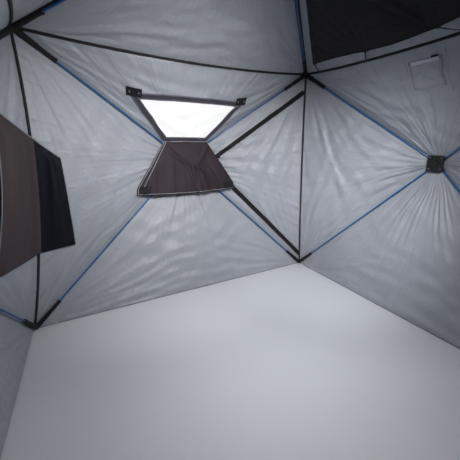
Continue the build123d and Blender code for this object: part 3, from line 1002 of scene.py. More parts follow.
def vent_corners(margin):
    """Corners of a vent's flap, clockwise, drawn in by a margin."""
    half_width = vent_size[0] / 2 - margin
    half_height = vent_size[1] / 2 - margin
    x, z = vent_middle
    return ((x - half_width, z + half_height), (x + half_width, z + half_height),
            (x + half_width, z - half_height), (x - half_width, z - half_height))


def past_seam(end):
    """End of a door's edge from its apex, run on past the corner seam."""
    beyond = 1.35
    return tuple(a + (b - a) * beyond for a, b in zip(door_apex, end))


def hinge_normal():
    """Unit vector square to the plane of the back right corner seam, toward the door."""
    a, b = np.array(top_right) - core, np.array(base_right) - core
    normal = np.cross(a, b)
    normal = normal / np.linalg.norm(normal)
    return normal if normal[0] < 0 else -normal


def cut_door(made):
    """Cuts the door out of the back wall's skin and gives it as a skin of its own."""
    normal = hinge_normal()

    def on_panel(place):
        return place.x > door_panel_from[0] and place.y > door_panel_from[1]

    upper, lower = past_seam(door_top), past_seam(door_foot)
    for shift in (0.0, door_gap):
        cut_line(made, door_apex, upper, shift, on_panel)
        cut_line(made, lower, door_apex, shift, on_panel)
    faces = [f for f in made.faces if on_panel(f.calc_center_median())]
    geometry = [*faces, *{e for f in faces for e in f.edges}, *{v for f in faces for v in f.verts}]
    through = Vector(core) + Vector(normal) * hinge_strip
    bmesh.ops.bisect_plane(
        made, geom=geometry, plane_co=through, plane_no=Vector(normal), dist=cut_tolerance)
    wedge_outline = (door_apex, upper, lower)
    door_faces, slit_faces = [], []
    for face in made.faces:
        middle = face.calc_center_median()
        if not on_panel(middle) or (np.array(middle) - core) @ normal < hinge_strip:
            continue
        place = (middle.x, middle.z)
        if inside(wedge_outline, place):
            door_faces.append(face)
        elif inside(wedge_outline, place, door_gap):
            slit_faces.append(face)
    door = made.copy()
    door.faces.ensure_lookup_table()
    made.faces.ensure_lookup_table()
    kept = {f.index for f in door_faces}
    slit = {f.index for f in slit_faces}
    bmesh.ops.delete(door, geom=[f for f in door.faces if f.index not in kept], context="FACES")
    bmesh.ops.delete(made, geom=[f for f in made.faces if f.index in kept | slit], context="FACES")
    return door


def hang_door(door, materials):
    """The door's cloth, which stays sewn to the corner seam while the rest swings."""
    piece = thick_skin(door, "door_cloth", materials, 0.0, body=None)
    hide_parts("door")
    chord = np.array(base_right) - np.array(top_right)
    middle = (np.array(base_right) + np.array(top_right)) / 2
    along = unit(np.cross(chord, np.cross(np.array((-top_half, hub_reach - top_half, 0.0)), chord)))
    start, end = (tuple(middle + along * distance) for distance in door_bend)
    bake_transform(piece, "hut", "door_leaf", start=start, end=end)


class HUT_OT_seams(bpy.types.Operator):
    """Lays bindings over the corner and eaves seams, dark strips behind the roof poles, and piping outside"""
    bl_idname = "hut.seams"
    bl_label = "Seam bindings and piping"

    def execute(self, context):
        kit = shared_materials(context)
        for name, node, ends in (("corner_seam_bindings", "corner_bindings", corner_seam),
                                 ("eaves_seam_bindings", "eaves_bindings", eaves_seam)):
            path = inset(seam_arc(*ends, np.linspace(0.004, 0.996, seam_points)), off_lining("binding"))
            strips = []
            for wall, degrees in wall_turns.items():
                strips.append(sweep(f"{name}_{wall}", path, *lie(path), half_width=0.0078, half_thick=0.0042,
                                    material=kit["binding"], degrees=degrees))
            piece = join(strips, name)
            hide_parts(node)
        roof_pole_strips(context, kit["binding"])
        outer_piping(kit["binding"])
        return {"FINISHED"}


def roof_pole_strips(context, material):
    """Dark strips along the roof's seams, behind the poles."""
    roof = shared_cloth(context, "roof")
    near, far = 0.105, top_half - 0.012
    strips = []
    for number, (x, y) in enumerate(((-1, -1), (-1, 1), (1, -1), (1, 1))):
        strips.append(ribbon_on(roof, f"roof_strip_{number}", (near * x, near * y), (far * x, far * y),
                                half=0.0125, depth=off_lining("roof strip"), material=material))
    return join(strips, "roof_pole_strips")


def outer_piping(material):
    """Round piping outside, along the corner seams and the eaves."""
    cords = []
    for wall, degrees in wall_turns.items():
        for name, ends in (("corner", corner_seam), ("eaves", eaves_seam)):
            path = inset(seam_arc(*ends, np.linspace(0.006, 0.994, seam_points)), -0.0010)
            cords.append(cord_along(f"{name}_piping_{wall}", turn(path, degrees), radius=0.0032,
                                    material=material))
    return join(cords, "outer_piping")


# How far a sleeve reaches along its pole, and how far it bows off the cloth
sleeve_length = 0.205
sleeve_bow = 0.003


class HUT_OT_poles(bpy.types.Operator):
    """Gives the poles their fibreglass and puts sleeves over their ends at the corners"""
    bl_idname = "hut.poles"
    bl_label = "Poles and sleeves"

    def execute(self, context):
        kit = shared_materials(context)
        for name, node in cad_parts.items():
            if name.endswith("_poles"):
                dress(node, kit["poles"])
        wall_hub = np.array((0.0, hub_reach, hub_height))
        right_hub = np.array((hub_reach, 0.0, hub_height))
        roof_hub = np.array((0.0, 0.0, roof_hub_height))
        for name, corner, hubs in (("top_corner_sleeves", top_right, (wall_hub, right_hub, roof_hub)),
                                   ("base_corner_sleeves", base_right, (wall_hub, right_hub))):
            tubes = []
            for wall, degrees in wall_turns.items():
                for number, hub in enumerate(hubs):
                    tubes.append(pole_sleeve(f"{name}_{wall}_{number}", corner, hub, degrees, number,
                                             kit["sleeve"]))
            piece = join(tubes, name)
            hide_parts("top_corner_pockets" if "top" in name else "base_corner_pockets")
        return {"FINISHED"}


def pole_sleeve(name, corner, hub, degrees, number, material):
    """A webbing sleeve over the end of one pole, flat where it is sewn down, with a rolled hem."""
    start = inset(corner, pole_depth)
    way = unit(inset(hub, pole_depth) - start)
    share = np.linspace(0.0, 1.0, 46)
    path = start + (share * sleeve_length)[:, None] * way
    normal = inward_of(path)
    side = unit(np.cross(way, normal))
    rng = draws("sleeve", number + int(degrees))
    crease = 1 + 0.06 * ripples(share, rng, 3.0, 8.0)
    hem = 1 + 0.10 * smooth_step(share, 0.93, 0.955)
    width = (0.0150 - 0.0035 * smooth_step(share, 0.1, 0.9)) * crease * hem
    thick = (0.0105 - 0.0012 * share) * crease * hem
    path = path - normal * (sleeve_bow * np.sin(np.pi * share))[:, None]
    return sweep(name, path, side, np.cross(side, way), width, thick, material, degrees,
                 corners=16, square=0.8)


def dress(node, material):
    """Gives a CAD node's object a material in all its slots."""
    if not node.material_slots:
        node.data.materials.append(material)
    for slot in node.material_slots:
        slot.material = material


class HUT_OT_hubs(bpy.types.Operator):
    """Gives the hubs their moulded plastic"""
    bl_idname = "hut.hubs"
    bl_label = "Hubs"

    def execute(self, context):
        kit = shared_materials(context)
        for name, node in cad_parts.items():
            if name.endswith("_hub"):
                dress(node, kit["plastic"])
        return {"FINISHED"}


# Closing tape round a window: half its width, and how its edges, tabs and snaps lie
tape_half = 0.0175
tape_overlap = 0.0007
tape_edge_inset = 0.0035
tab_place = (0.387, 1.538)
tab_size = (0.090, 0.046)
tab_lean = 0.12
snap_across = 0.026
# How far the film laps behind the tape
film_lap = 0.016
stud_profile = ((0.0072, 0.0), (0.0074, 0.0008), (0.0068, 0.0018), (0.0050, 0.0026), (0.0034, 0.0028),
                (0.0030, 0.0021), (0.0004, 0.0019))


class HUT_OT_windows(bpy.types.Operator):
    """Makes the windows: film, the closing tape round it with its light edges, and the corner tabs"""
    bl_idname = "hut.windows"
    bl_label = "Windows"

    def execute(self, context):
        kit = shared_materials(context)
        films, tapes, strips, tabs, studs, threads = [], [], [], [], [], []
        for wall in ("back", "front"):
            cloth = shared_cloth(context, wall)
            films.append(window_film(cloth, wall, kit["film"]))
            for number, (start, end) in enumerate(window_lines()):
                depth = off_lining("tape") + tape_overlap * (number % 2)
                tapes.append(ribbon_on(cloth, f"{wall}_tape_{number}", start, end, tape_half, depth,
                                       kit["tape"]))
                for shift in (-tape_half + tape_edge_inset, tape_half - tape_edge_inset):
                    strips.append(ribbon_on(
                        cloth, f"{wall}_selvage_{number}", start, end, half=0.0032, depth=depth + 0.0021,
                        material=kit["tape_edge"], shift=shift, thickness=0.0009, across=4))
                    threads.append(line_on(cloth, start, end, depth + 0.0034, shift))
            for side in (-1, 1):
                middle = (side * tab_place[0], tab_place[1])
                tabs.append(patch_on(cloth, f"{wall}_tab_{side}", middle, tab_size, off_lining("tab"),
                                     kit["sleeve"], lean=side * tab_lean))
                for across in (-snap_across, snap_across):
                    level = middle[1] + side * across * tab_lean
                    spot = cloth.over(middle[0] + across, level, off_lining("snap"))
                    studs.append((spot, core - spot))
        film = join(films, "window_films")
        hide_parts("window_panes")
        tape = join(tapes, "window_tapes")
        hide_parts("window_frames")
        join(strips, "window_tape_edges")
        join(tabs, "window_tabs")
        stitches = spindles("window_stitches", threads, pitch=0.0075, length=0.0050, width=0.0008,
                            material=kit["thread"])
        lathe("window_snaps", studs, stud_profile, kit["metal"])
        return {"FINISHED"}


def window_lines():
    """Middle lines of the closing tape round a window."""
    (left, top), (right, _), (low_right, bottom), (low_left, _) = window_outline
    return (
        ((left - 0.045, top + tape_half), (right + 0.045, top + tape_half)),
        ((right + 0.052, top + 0.036), (low_right + 0.006, bottom - 0.014)),
        ((low_right + 0.014, bottom - tape_half), (low_left - 0.014, bottom - tape_half)),
        ((low_left - 0.006, bottom - 0.014), (left - 0.052, top + 0.036)),
    )


def window_film(cloth, wall, material):
    """Clear film over the opening, under the tape."""
    (left, top), (right, _), (low_right, bottom), (low_left, _) = window_outline
    down = np.linspace(0, 1, 26)[:, None]
    z = top + film_lap + (bottom - top - 2 * film_lap) * down
    first = left - film_lap + (low_left - left + 0.4 * film_lap) * down
    last = right + film_lap + (low_right - right - 0.4 * film_lap) * down
    x = first + (last - first) * np.linspace(0, 1, 44)
    grid = cloth.over(x, np.broadcast_to(z, x.shape), off_lining("film"))
    return sheet_of(f"{wall}_film", grid, thickness=0.0007, material=material)


def patch_on(cloth, name, middle, size, depth, material, thickness=0.003, lean=0.0):
    """A small patch sewn on the inner side of a cloth."""
    across = np.linspace(-0.5, 0.5, 22)[None, :]
    down = np.linspace(-0.5, 0.5, 14)[:, None]
    x = middle[0] + size[0] * across + 0 * down
    z = middle[1] - size[1] * down + lean * size[0] * across
    return sheet_of(name, cloth.over(x, z, depth), thickness, material)


# A cover: its levels, half its widths and how far out its ends lie
cover_top = 1.2345
cover_bottom = 0.834
cover_half_top = 0.174
cover_half_bottom = 0.428
cover_reach_top = 1.2245
cover_reach_bottom = 1.192
top_edge_half = 0.186
# Columns of the cover's grid that carry the double edging, and the rows and columns of its corner patches
edging_columns = (1, 5)
patch_rows = slice(-9, -1)
patch_columns = {"near": slice(1, 13), "far": slice(-13, -1)}
# Folds of a cover: how far down they bend, how far across there, and their width and height in metres
cover_folds = (
    ((0.04, 0.45, 1.0), (-0.85, 0.02, 0.18), 0.017, 0.013),
    ((0.04, 0.40, 0.55), (0.92, 0.30, 0.22), 0.015, 0.012),
    ((0.04, 0.35, 1.0), (-0.95, -0.45, -0.30), 0.016, 0.007),
    ((0.30, 0.60, 1.0), (0.10, 0.33, 0.36), 0.014, 0.013),
    ((0.45, 0.70, 1.0), (0.55, 0.60, 0.60), 0.016, 0.011),
    ((0.62, 1.0), (-0.78, -0.62), 0.015, 0.008),
    ((0.70, 1.0), (0.86, 0.84), 0.013, 0.009),
)


class HUT_OT_covers(bpy.types.Operator):
    """Hangs the folded-down covers under the windows, with light and dark edging and corner patches"""
    bl_idname = "hut.covers"
    bl_label = "Window covers"

    def execute(self, context):
        kit = shared_materials(context)
        sheets, edges, hems, corners = [], [], [], []
        for wall in ("back", "front"):
            cloth = shared_cloth(context, wall)
            grid = cover_grid(cloth)
            turned = turn(grid, cloth.degrees)
            sheets.append(sheet_of(f"{wall}_cover", turned, 0.0030, kit["cover"]))
            inward = inward_of(turned)
            for column in edging_columns:
                line = turned[:, column] + inward[:, column] * edging_lift
                edges.append(cord_along(f"{wall}_edge_{column}", line, radius=0.0026, material=kit["piping"]))
            rim = turned[-2] + inward[-2] * 0.0030
            edges.append(cord_along(f"{wall}_low_edge", rim, radius=0.0022, material=kit["piping"]))
            far_edge = turned[:, -2] + inward[:, -2] * edging_lift
            hems.append(cord_along(f"{wall}_hem", far_edge, radius=0.0022, material=kit["binding"]))
            for side, columns in patch_columns.items():
                patch = turned[patch_rows, columns] + inward[patch_rows, columns] * 0.0046
                corners.append(sheet_of(f"{wall}_{side}_corner", patch, 0.0018, kit["sleeve"]))
            level = cover_top + 0.005
            top_line = line_on(cloth, (-top_edge_half, level), (top_edge_half, level),
                               off_lining("cover edge"))
            edges.append(cord_along(f"{wall}_top_edge", top_line, radius=0.0032, material=kit["piping"]))
        cover = join(sheets, "window_covers")
        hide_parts("window_flaps")
        join(edges, "cover_edging")
        join(hems, "cover_hems")
        join(corners, "cover_corners")
        return {"FINISHED"}


def cover_grid(cloth):
    """Points of a cover that hangs from under a window, with folds that deepen downward."""
    rng = draws("cover")
    down = np.linspace(0, 1, 50)[:, None]
    across = np.linspace(-1, 1, 96)[None, :]
    half = cover_half_top + (cover_half_bottom - cover_half_top) * down
    corner = 1 - 0.055 * smooth_step(np.abs(across), 0.9, 1.0) * smooth_step(down, 0.85, 1.0)
    x = across * half * corner
    sag = 0.016 * np.abs(across) ** 2.2
    z = cover_top + (cover_bottom - cover_top) * down + sag * down
    y = cover_reach_top + (cover_reach_bottom - cover_reach_top) * down - 0.006 * np.sin(np.pi * down)
    right_side = 0.45 + 0.75 * smooth_step(across, -0.5, 0.35)
    folds = ripples(across + 0.12 * down, rng, 1.2, 3.4, 5) * right_side
    fine = ripples(across - 0.2 * down, rng, 5.0, 9.0, 4) * 0.25
    y = y - (0.0045 * folds + 0.0035 * fine) * smooth_step(down, 0.03, 0.75)
    for levels, places, width, height in cover_folds:
        middle = np.interp(down, levels, places)
        near = np.exp(-(((across - middle) * half / width) ** 2))
        y = y - height * near * smooth_step(down, levels[0] - 0.02, levels[0] + 0.18)
    waves = ripples(down + 0.3 * across, rng, 0.6, 1.8, 4)
    y = y - 0.0030 * waves * smooth_step(down, 0.0, 0.3)
    wall = turn(cloth.over(x, z, cloth_depth), -cloth.degrees)
    return np.stack([x, np.minimum(y, wall[..., 1] - 0.0075), z], -1)


# Zip tapes: half their width, how far they lie outside the door's edge and how the second lies on the first
zip_half = 0.0175
zip_shift = 0.0085
zip_overlap = 0.0022
# Where the stitches lie from a tape's middle, and the teeth from the door's edge
zip_stitch_line = 0.0135
zip_teeth_line = 0.0035


class HUT_OT_door_zips(bpy.types.Operator):
    """Lays the zip tapes along the door's two sloping edges, with teeth, sliders and pulls"""
    bl_idname = "hut.door_zips"
    bl_label = "Door zips"

    def execute(self, context):
        kit = shared_materials(context)
        cloth = shared_cloth(context, "back")
        tapes, threads, teeth, sliders, pulls = [], [], [], [], []
        for number, (end, side) in enumerate(((door_top, 1.0), (door_foot, -1.0))):
            start = (door_apex[0] - 0.018, door_apex[1] + side * 0.003)
            shorter = (end[0] - 0.006, end[1])
            shift = side * zip_shift
            depth = off_lining("zip") + zip_overlap * number
            tapes.append(ribbon_on(cloth, f"zip_tape_{number}", start, shorter, zip_half, depth,
                                   kit["sleeve"], shift))
            for line in (-zip_stitch_line, zip_stitch_line):
                threads.append(line_on(cloth, start, shorter, depth + 0.0024, shift + line))
            teeth.append(line_on(cloth, door_apex, shorter, depth + 0.0034, side * zip_teeth_line))
            track = line_on(cloth, door_apex, shorter, depth + 0.0062, side * zip_teeth_line)
            first, second = track[5], track[8]
            sliders.append(zip_slider(f"slider_{number}", first, second, kit["plastic"]))
            pulls.append(zip_pull(f"pull_{number}", first, kit["binding"]))
        tape = join(tapes, "zip_tapes")
        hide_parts("door_zip_tapes")
        stitches = spindles("zip_stitches", threads, pitch=0.0075, length=0.0052, width=0.0008,
                            material=kit["thread"])
        tooth_rows = spindles("zip_teeth", teeth, pitch=0.0036, length=0.0066, width=0.0012,
                              material=kit["plastic"], square_to_path=True)
        join(sliders, "zip_sliders")
        join(pulls, "zip_pulls")
        return {"FINISHED"}


def zip_slider(name, first, second, material):
    """A tapered slider on a zip, with a raised bridge."""
    share = np.linspace(0, 1, 14)
    slider_length = 0.021
    path = first + share[:, None] * unit(second - first) * slider_length
    width = 0.0052 + 0.0030 * smooth_step(share, 0.1, 0.8)
    thick = 0.0026 + 0.0022 * np.sin(np.pi * share) ** 2
    return sweep(name, path, *lie(path), width, thick, material, corners=16, square=0.6)


def zip_pull(name, top, material):
    """A cord pull that hangs from a slider."""
    share = np.linspace(0, 1, 24)
    pull_drop = np.array((0, 0, 0.062))
    inward = inward_of(top)
    out = 0.006 + 0.004 * np.sin(np.pi * share)
    path = top + inward * out[:, None] - pull_drop * share[:, None]
    grip = smooth_step(share, 0.45, 0.62)
    return sweep(name, path, *lie(path, inward), 0.0024 + 0.0042 * grip, 0.0022 + 0.0010 * grip, material,
                 corners=12, square=0.75)


# Half the widths of a vent's top hem and of its other hems, and where their stitches lie in half widths
vent_hem_halves = (0.0085, 0.0060)
vent_stitch_lines = (1.5, 0.45)
vent_hem_overlap = 0.0012
vent_tuck_gap = 0.024


class HUT_OT_vents(bpy.types.Operator):
    """Makes the vents' flaps in the right and left walls, with a hemmed border whose top hem is painted
    lighter as a highlight, a thin dark cord of painted shadow by each flap's left edge, and a pull
    """
    bl_idname = "hut.vents"
    bl_label = "Vents"

    def execute(self, context):
        kit = shared_materials(context)
        flaps, top_hems, borders, tabs, threads, folds = [], [], [], [], [], []
        for wall in ("right", "left"):
            cloth = shared_cloth(context, wall)
            flaps.append(vent_flap(cloth, wall, kit["hem"]))
            corners = vent_corners(0.0)
            (left, top), (right, _), (_, bottom), _ = corners
            for number, (start, end) in enumerate(zip(corners, corners[1:] + corners[:1])):
                half = vent_hem_halves[min(number, 1)]
                depth = off_lining("hem") + vent_hem_overlap * (number % 2)
                # The top hem takes the lighter copy of the lining, a painted highlight; the other hems take
                # the hemmed lining.
                kept, material = (borders, kit["hem"]) if number else (top_hems, kit["vent_hem"])
                kept.append(ribbon_on(cloth, f"{wall}_border_{number}", start, end, half, depth, material,
                                      shift=-half, thickness=0.0018))
                for share in vent_stitch_lines:
                    threads.append(line_on(cloth, start, end, depth + 0.0030, -half * share, step=0.006))
            for edge in (left - vent_tuck_gap, right + vent_tuck_gap):
                folds.append(line_on(cloth, (edge, top + 0.02), (edge, bottom - 0.03), off_lining("tuck")))
            tabs.append(patch_on(cloth, f"{wall}_vent_tab", (right - 0.026, top + 0.004), (0.032, 0.008),
                                 depth=off_lining("vent tab"), material=kit["sleeve"], thickness=0.0024))
            # A thin dark cord of sleeve webbing by the flap's left edge: painted shadow of the folded border.
            shadow = line_on(cloth, (left - 0.003, top), (left - 0.003, bottom), off_lining("fold"))
            tabs.append(cord_along(f"{wall}_vent_fold_shadow", shadow, radius=0.0016, material=kit["sleeve"]))
        flap = join(flaps, "vent_covers")
        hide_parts("vent_flaps")
        join(borders, "vent_borders")
        join(top_hems, "vent_top_hems")
        join(tabs, "vent_tabs_and_fold_shadows")
        stitches = spindles("vent_stitches", threads, pitch=0.0065, length=0.0042, width=0.0007,
                            material=kit["thread"])
        tucks = [cord_along(f"tuck_{number}", line, radius=0.0017, material=kit["hem"])
                 for number, line in enumerate(folds)]
        join(tucks, "vent_tucks")
        return {"FINISHED"}


def vent_flap(cloth, wall, material):
    """A vent's flap, puffed a little between its hems, and puckered."""
    rng = draws("vent")
    down = np.linspace(-0.5, 0.5, 40)[:, None]
    across = np.linspace(-0.5, 0.5, 52)[None, :]
    x = vent_middle[0] + vent_size[0] * across + 0 * down
    z = vent_middle[1] - vent_size[1] * down + 0 * across
    puff = np.cos(np.pi * down) * np.cos(np.pi * across)
    pucker = ripples(across * 1.3 + down, rng, 1.5, 4.0, 5) + ripples(down * 1.3 - across, rng, 1.5, 4.0, 5)
    depth = off_lining("flap") + puff * (0.0045 + 0.0022 * pucker)
    points = cloth.over(x, z, 0.0)
    return sheet_of(f"{wall}_vent", points + inward_of(points) * depth[..., None], 0.0022, material)


# The loft, drawn under the back panel: where its front edge hangs and where its straps are held on the seam
loft_hooks = np.array((-0.6547, -0.19, 0.19, 0.6547))
loft_side = loft_hooks[-1]
loft_holds = (-0.745, -0.283, 0.283, 0.745)
loft_peak = 0.083 * math.sqrt(2)
loft_depth = 0.062
# How far the front edge lies inside the eaves, and how deep it bows between hooks at its sides and its middle
loft_front_gap = 0.132
loft_scallops = (0.026, 0.006)
loft_fold_reach = 0.13
loft_turn = -90


class HUT_OT_loft(bpy.types.Operator):
    """Hangs the gear loft under the right side of the roof, with its straps and rings"""
    bl_idname = "hut.loft"
    bl_label = "Gear loft"

    def execute(self, context):
        kit = shared_materials(context)
        sheet, edge, grid = loft_sheet(kit)
        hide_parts("gear_loft")
        straps, rings = [], []
        for number, (x, hold) in enumerate(zip(loft_hooks, loft_holds)):
            column = int(round((x / loft_side + 1) / 2 * (grid.shape[1] - 1)))
            low = grid[-1, column]
            high = inset(eaves_at(hold), off_lining("binding")) + np.array((0.0, -0.004, -0.004))
            straps.append(loft_strap(f"strap_{number}", low, high, kit["binding"]))
            spot = turn(low + np.array((0, 0.010, -0.0005)), loft_turn)
            rings.append(ring_of(f"ring_{number}", spot, axis=(0.1, 0.2, 1.0), radius=0.0085,
                                 thickness=0.0015, material=kit["plastic"]))
        plate = np.array((0.0, 0.024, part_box("roof_hub")[0][2] + 0.0065))
        straps.append(loft_strap("peak_strap", grid[0, grid.shape[1] // 2], plate, kit["binding"]))
        strap = join(straps, "loft_webbing")
        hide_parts("loft_straps")
        join(rings, "loft_rings")
        return {"FINISHED"}


def eaves_at(x):
    """Point of the eaves seam at the back, over an X."""
    middle = np.array((0.0, top_half, corner_height))
    inward = (core - middle) / np.linalg.norm(core - middle)
    drop = eaves_bow * (1.0 - (np.asarray(x) / top_half) ** 2)
    start = np.stack([np.asarray(x, float), np.full_like(np.asarray(x, float), top_half),
                      np.full_like(np.asarray(x, float), corner_height)], -1)
    return start + drop[..., None] * inward


def loft_height(x, y):
    """Height of the loft's upper side over a point, parallel to the roof's cloth."""
    shrink = 1.0 - loft_depth / reach
    ratio = x / np.maximum(y, 1e-6)
    seam = eaves_at(np.clip(x, -top_half, top_half))
    for _ in range(8):
        seam = eaves_at(np.clip(ratio * seam[..., 1], -top_half, top_half))
    level = roof_hub_height + (y / shrink / seam[..., 1]) * (seam[..., 2] - roof_hub_height)
    return hub_height + (level - hub_height) * shrink


def loft_sheet(kit):
    """The loft's cloth, which sags between its hooks, and the binding round it."""
    rng = draws("loft")
    out = np.linspace(0, 1, 74)[:, None]
    across = np.linspace(-1, 1, 134)[None, :]
    x_edge = across * loft_side
    span = np.clip(np.searchsorted(loft_hooks, x_edge, side="right") - 1, 0, 2)
    part = (x_edge - loft_hooks[span]) / (loft_hooks[span + 1] - loft_hooks[span])
    scallop = 4 * part * (1 - part) * np.where(span == 1, loft_scallops[1], loft_scallops[0])
    edge = eaves_at(x_edge)[..., 1] - loft_front_gap - scallop
    spread = 0.05 + 0.95 * out
    x = x_edge * spread
    y = loft_peak + (edge - loft_peak) * out
    z = loft_height(x, y)
    hold = 1 - out ** 3 * (1 - 4 * part * (1 - part))
    sag = np.sin(np.pi * out ** 0.9) * (1 - across ** 4) * 0.030 + 0.010 * out * 4 * part * (1 - part)
    fan_waves = np.zeros_like(x)
    for hook in loft_hooks:
        hook_y = float(eaves_at(hook)[1]) - loft_front_gap
        arm_x, arm_y = x - hook, hook_y - y
        angle = np.arctan2(arm_x, arm_y + 0.02)
        far = np.hypot(arm_x, arm_y) / loft_fold_reach
        fan_waves += ripples(angle, rng, 1.8, 4.6, 5) * far * np.exp(1 - far)
    folds = 0.0042 * fan_waves * smooth_step(out, 0.03, 0.25) * (1 - 0.8 * smooth_step(out, 0.86, 0.97))
    z = z - sag * hold + folds
    grid = np.stack([x + 0 * z, y + 0 * z, z], -1)
    below = (0.0, 0.0, -50.0)
    sheet = sheet_of("loft_cloth", turn(grid, loft_turn), 0.0028, kit["loft"], faces_to=below)
    rim = np.concatenate([grid[::-1, 0], grid[0, 1:-1], grid[:, -1]])
    sides = loft_edge("loft_side_binding", rim, 0.0085, kit["binding"])
    front = loft_edge("loft_front_binding", grid[-1], 0.0060, kit["binding"])
    return sheet, join([sides, front], "loft_binding"), grid


def loft_edge(name, line, half_width, material):
    """A level strip of webbing under an edge of the loft, drawn before its turn."""
    path = turn(line + np.array((0.0, 0.0, -0.0014)), loft_turn)
    return sweep(name, path, *lie(path, (0.0, 0.0, 1.0)), half_width, half_thick=0.0026, material=material)


def loft_strap(name, low, high, material):
    """A strap from the loft's edge to what holds it, a little slack, drawn before its turn."""
    share = np.linspace(0, 1, 26)
    path = np.asarray(low) + share[:, None] * (np.asarray(high) - low)
    path[:, 2] -= 0.004 * np.sin(np.pi * share)
    across = np.broadcast_to((1.0, 0.0, 0.0), path.shape)
    width = 0.0058 - 0.0018 * np.sin(np.pi * share)
    return sweep(name, path, across, hang(path, across), width, 0.0013, material, loft_turn)


# The corner pocket: its levels, its widths on the left and back walls, and how far it keeps from the seam
pocket_bottom = 0.562
pocket_seam_top = 1.243
pocket_left_top = 1.373
pocket_back_top = 1.133
pocket_left_width = 0.258
pocket_back_width = 0.112
pocket_seam_gap = 0.030
pocket_rows = 90


class HUT_OT_pocket(bpy.types.Operator):
    """Hangs the corner pocket between the left and back walls"""
    bl_idname = "hut.pocket"
    bl_label = "Corner pocket"

    def execute(self, context):
        kit = shared_materials(context)
        grid = pocket_grid(context)
        pocket = sheet_of("pocket", grid, 0.0030, kit["pocket"])
        pocket.data.materials.append(kit["navy"])
        for polygon in pocket.data.polygons:
            past_corner = turn(np.array(polygon.center), -45.0)[0]
            if past_corner > 0.0005:
                polygon.material_index = 1
        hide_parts("corner_pocket")
        edges = []
        outline = ((grid[0], 0.0030), (grid[:, 0], 0.0022), (grid[:, -1], 0.0022))
        for number, (line, radius) in enumerate(outline):
            path = line + inward_of(line) * edging_lift
            edges.append(cord_along(f"pocket_edge_{number}", path, radius, kit["piping"]))
        join(edges, "pocket_edging")
        hem = grid[-1] + inward_of(grid[-1]) * 0.0020
        cord_along("pocket_hem", hem, radius=0.0022, material=kit["binding"])
        return {"FINISHED"}


def pocket_grid(context):
    """The corner pocket as one sheet, from its edge on the left wall to its edge on the back wall."""
    rng = draws("pocket")
    down = np.linspace(0, 1, pocket_rows)[:, None]
    levels = np.linspace(pocket_seam_top, pocket_bottom, pocket_rows)
    faces = []
    for wall, sign, width, top, columns in (
            ("left", 1.0, pocket_left_width, pocket_left_top, 60),
            ("back", -1.0, pocket_back_width, pocket_back_top, 44)):
        cloth = shared_cloth(context, wall)
        share = np.linspace(0, 1, columns)[None, :]
        near_seam = pocket_seam_top + (top - pocket_seam_top) * pocket_seam_gap / width
        high = top + (near_seam - top) * share
        z = high + (pocket_bottom - high) * down
        free_x = sign * (top_half - width)
        seam_x = sign * (seam_points_at(levels, 200)[:, :1] - pocket_seam_gap)
        x = free_x + (seam_x - free_x) * share
        folds = ripples(share + 0.25 * down, rng, 0.8, 2.4, 4) * 0.0055
        folds += ripples(share - 0.15 * down, rng, 2.6, 4.6, 3) * 0.0018
        droop = 0.010 * np.sin(np.pi * down) + 0.008 * np.sin(np.pi * share)
        lift = smooth_step(1 - share, 0.0, 0.30) * (0.30 + 0.70 * smooth_step(share, 0.0, 0.22))
        depth = off_lining("pocket") + (droop + 0.005 + folds) * lift * smooth_step(down, 0.0, 0.12)
        points = cloth.over(x, z, 0.0, wrinkles=0.0)
        faces.append(points + inward_of(points) * depth[..., None])
    left, back = faces
    corner = turn(inset(seam_points_at(levels, 300), off_lining("pocket corner")), 90.0)
    bridge_in = (left[:, -1] + corner) / 2
    bridge_out = (back[:, -1] + corner) / 2
    round_corner = np.stack([bridge_in, corner, bridge_out], axis=1)
    return np.concatenate([left, round_corner, back[:, ::-1]], axis=1)


def seam_points_at(levels, count):
    """Points of the corner seam at some levels, read off an arc of so many points."""
    arc = seam_arc(*corner_seam, np.linspace(0, 1, count))
    return np.stack([np.interp(levels, arc[::-1, 2], arc[::-1, axis]) for axis in range(3)], -1)


class HUT_OT_skirt(bpy.types.Operator):
    """Lays the ruffled ground skirt round the hut's feet"""
    bl_idname = "hut.skirt"
    bl_label = "Ground skirt"

    def execute(self, context):
        kit = shared_materials(context)
        sides = []
        along = np.linspace(-1, 1, 220)[None, :]
        out = np.linspace(0, 1, 17)[:, None]
        near, far = base_half + 0.002, base_half + 0.143
        for number, (wall, degrees) in enumerate(wall_turns.items()):
            rng = draws("skirt", number)
            y = near + (far - near) * out
            gathers = ripples(along, rng, 9.0, 22.0, 8)
            y = y + 0.004 * ripples(along, rng, 6.0, 16.0, 5) * out
            x = along * (y - 0.001)
            lift = 0.0012 + 0.0052 * (gathers + 1.2) * smooth_step(out, 0.0, 0.5) * (1 - 0.5 * out)
            z = np.clip(lift, 0.0008, 0.017) + 0 * along
            grid = np.stack([x, y + 0 * x, z], -1)
            sides.append(sheet_of(f"{wall}_skirt", turn(grid, degrees), 0.0022, kit["shell"],
                                  faces_to=(0, 0, 50)))
        skirt = join(sides, "ground_skirt")
        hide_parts("skirt")
        return {"FINISHED"}


# Screws in the hubs' plates, and how far the pull tabs' loops stand off the hubs
screw_places = [(across, along) for across in (-0.036, 0.036) for along in (-0.036, 0.036)]
screw_profile = ((0.0062, 0.0), (0.0062, 0.0012), (0.0052, 0.0028), (0.0036, 0.0034), (0.0024, 0.0034),
                 (0.0022, 0.0018), (0.0003, 0.0018))
plate_thickness = 0.0070
loop_lift = 0.0046


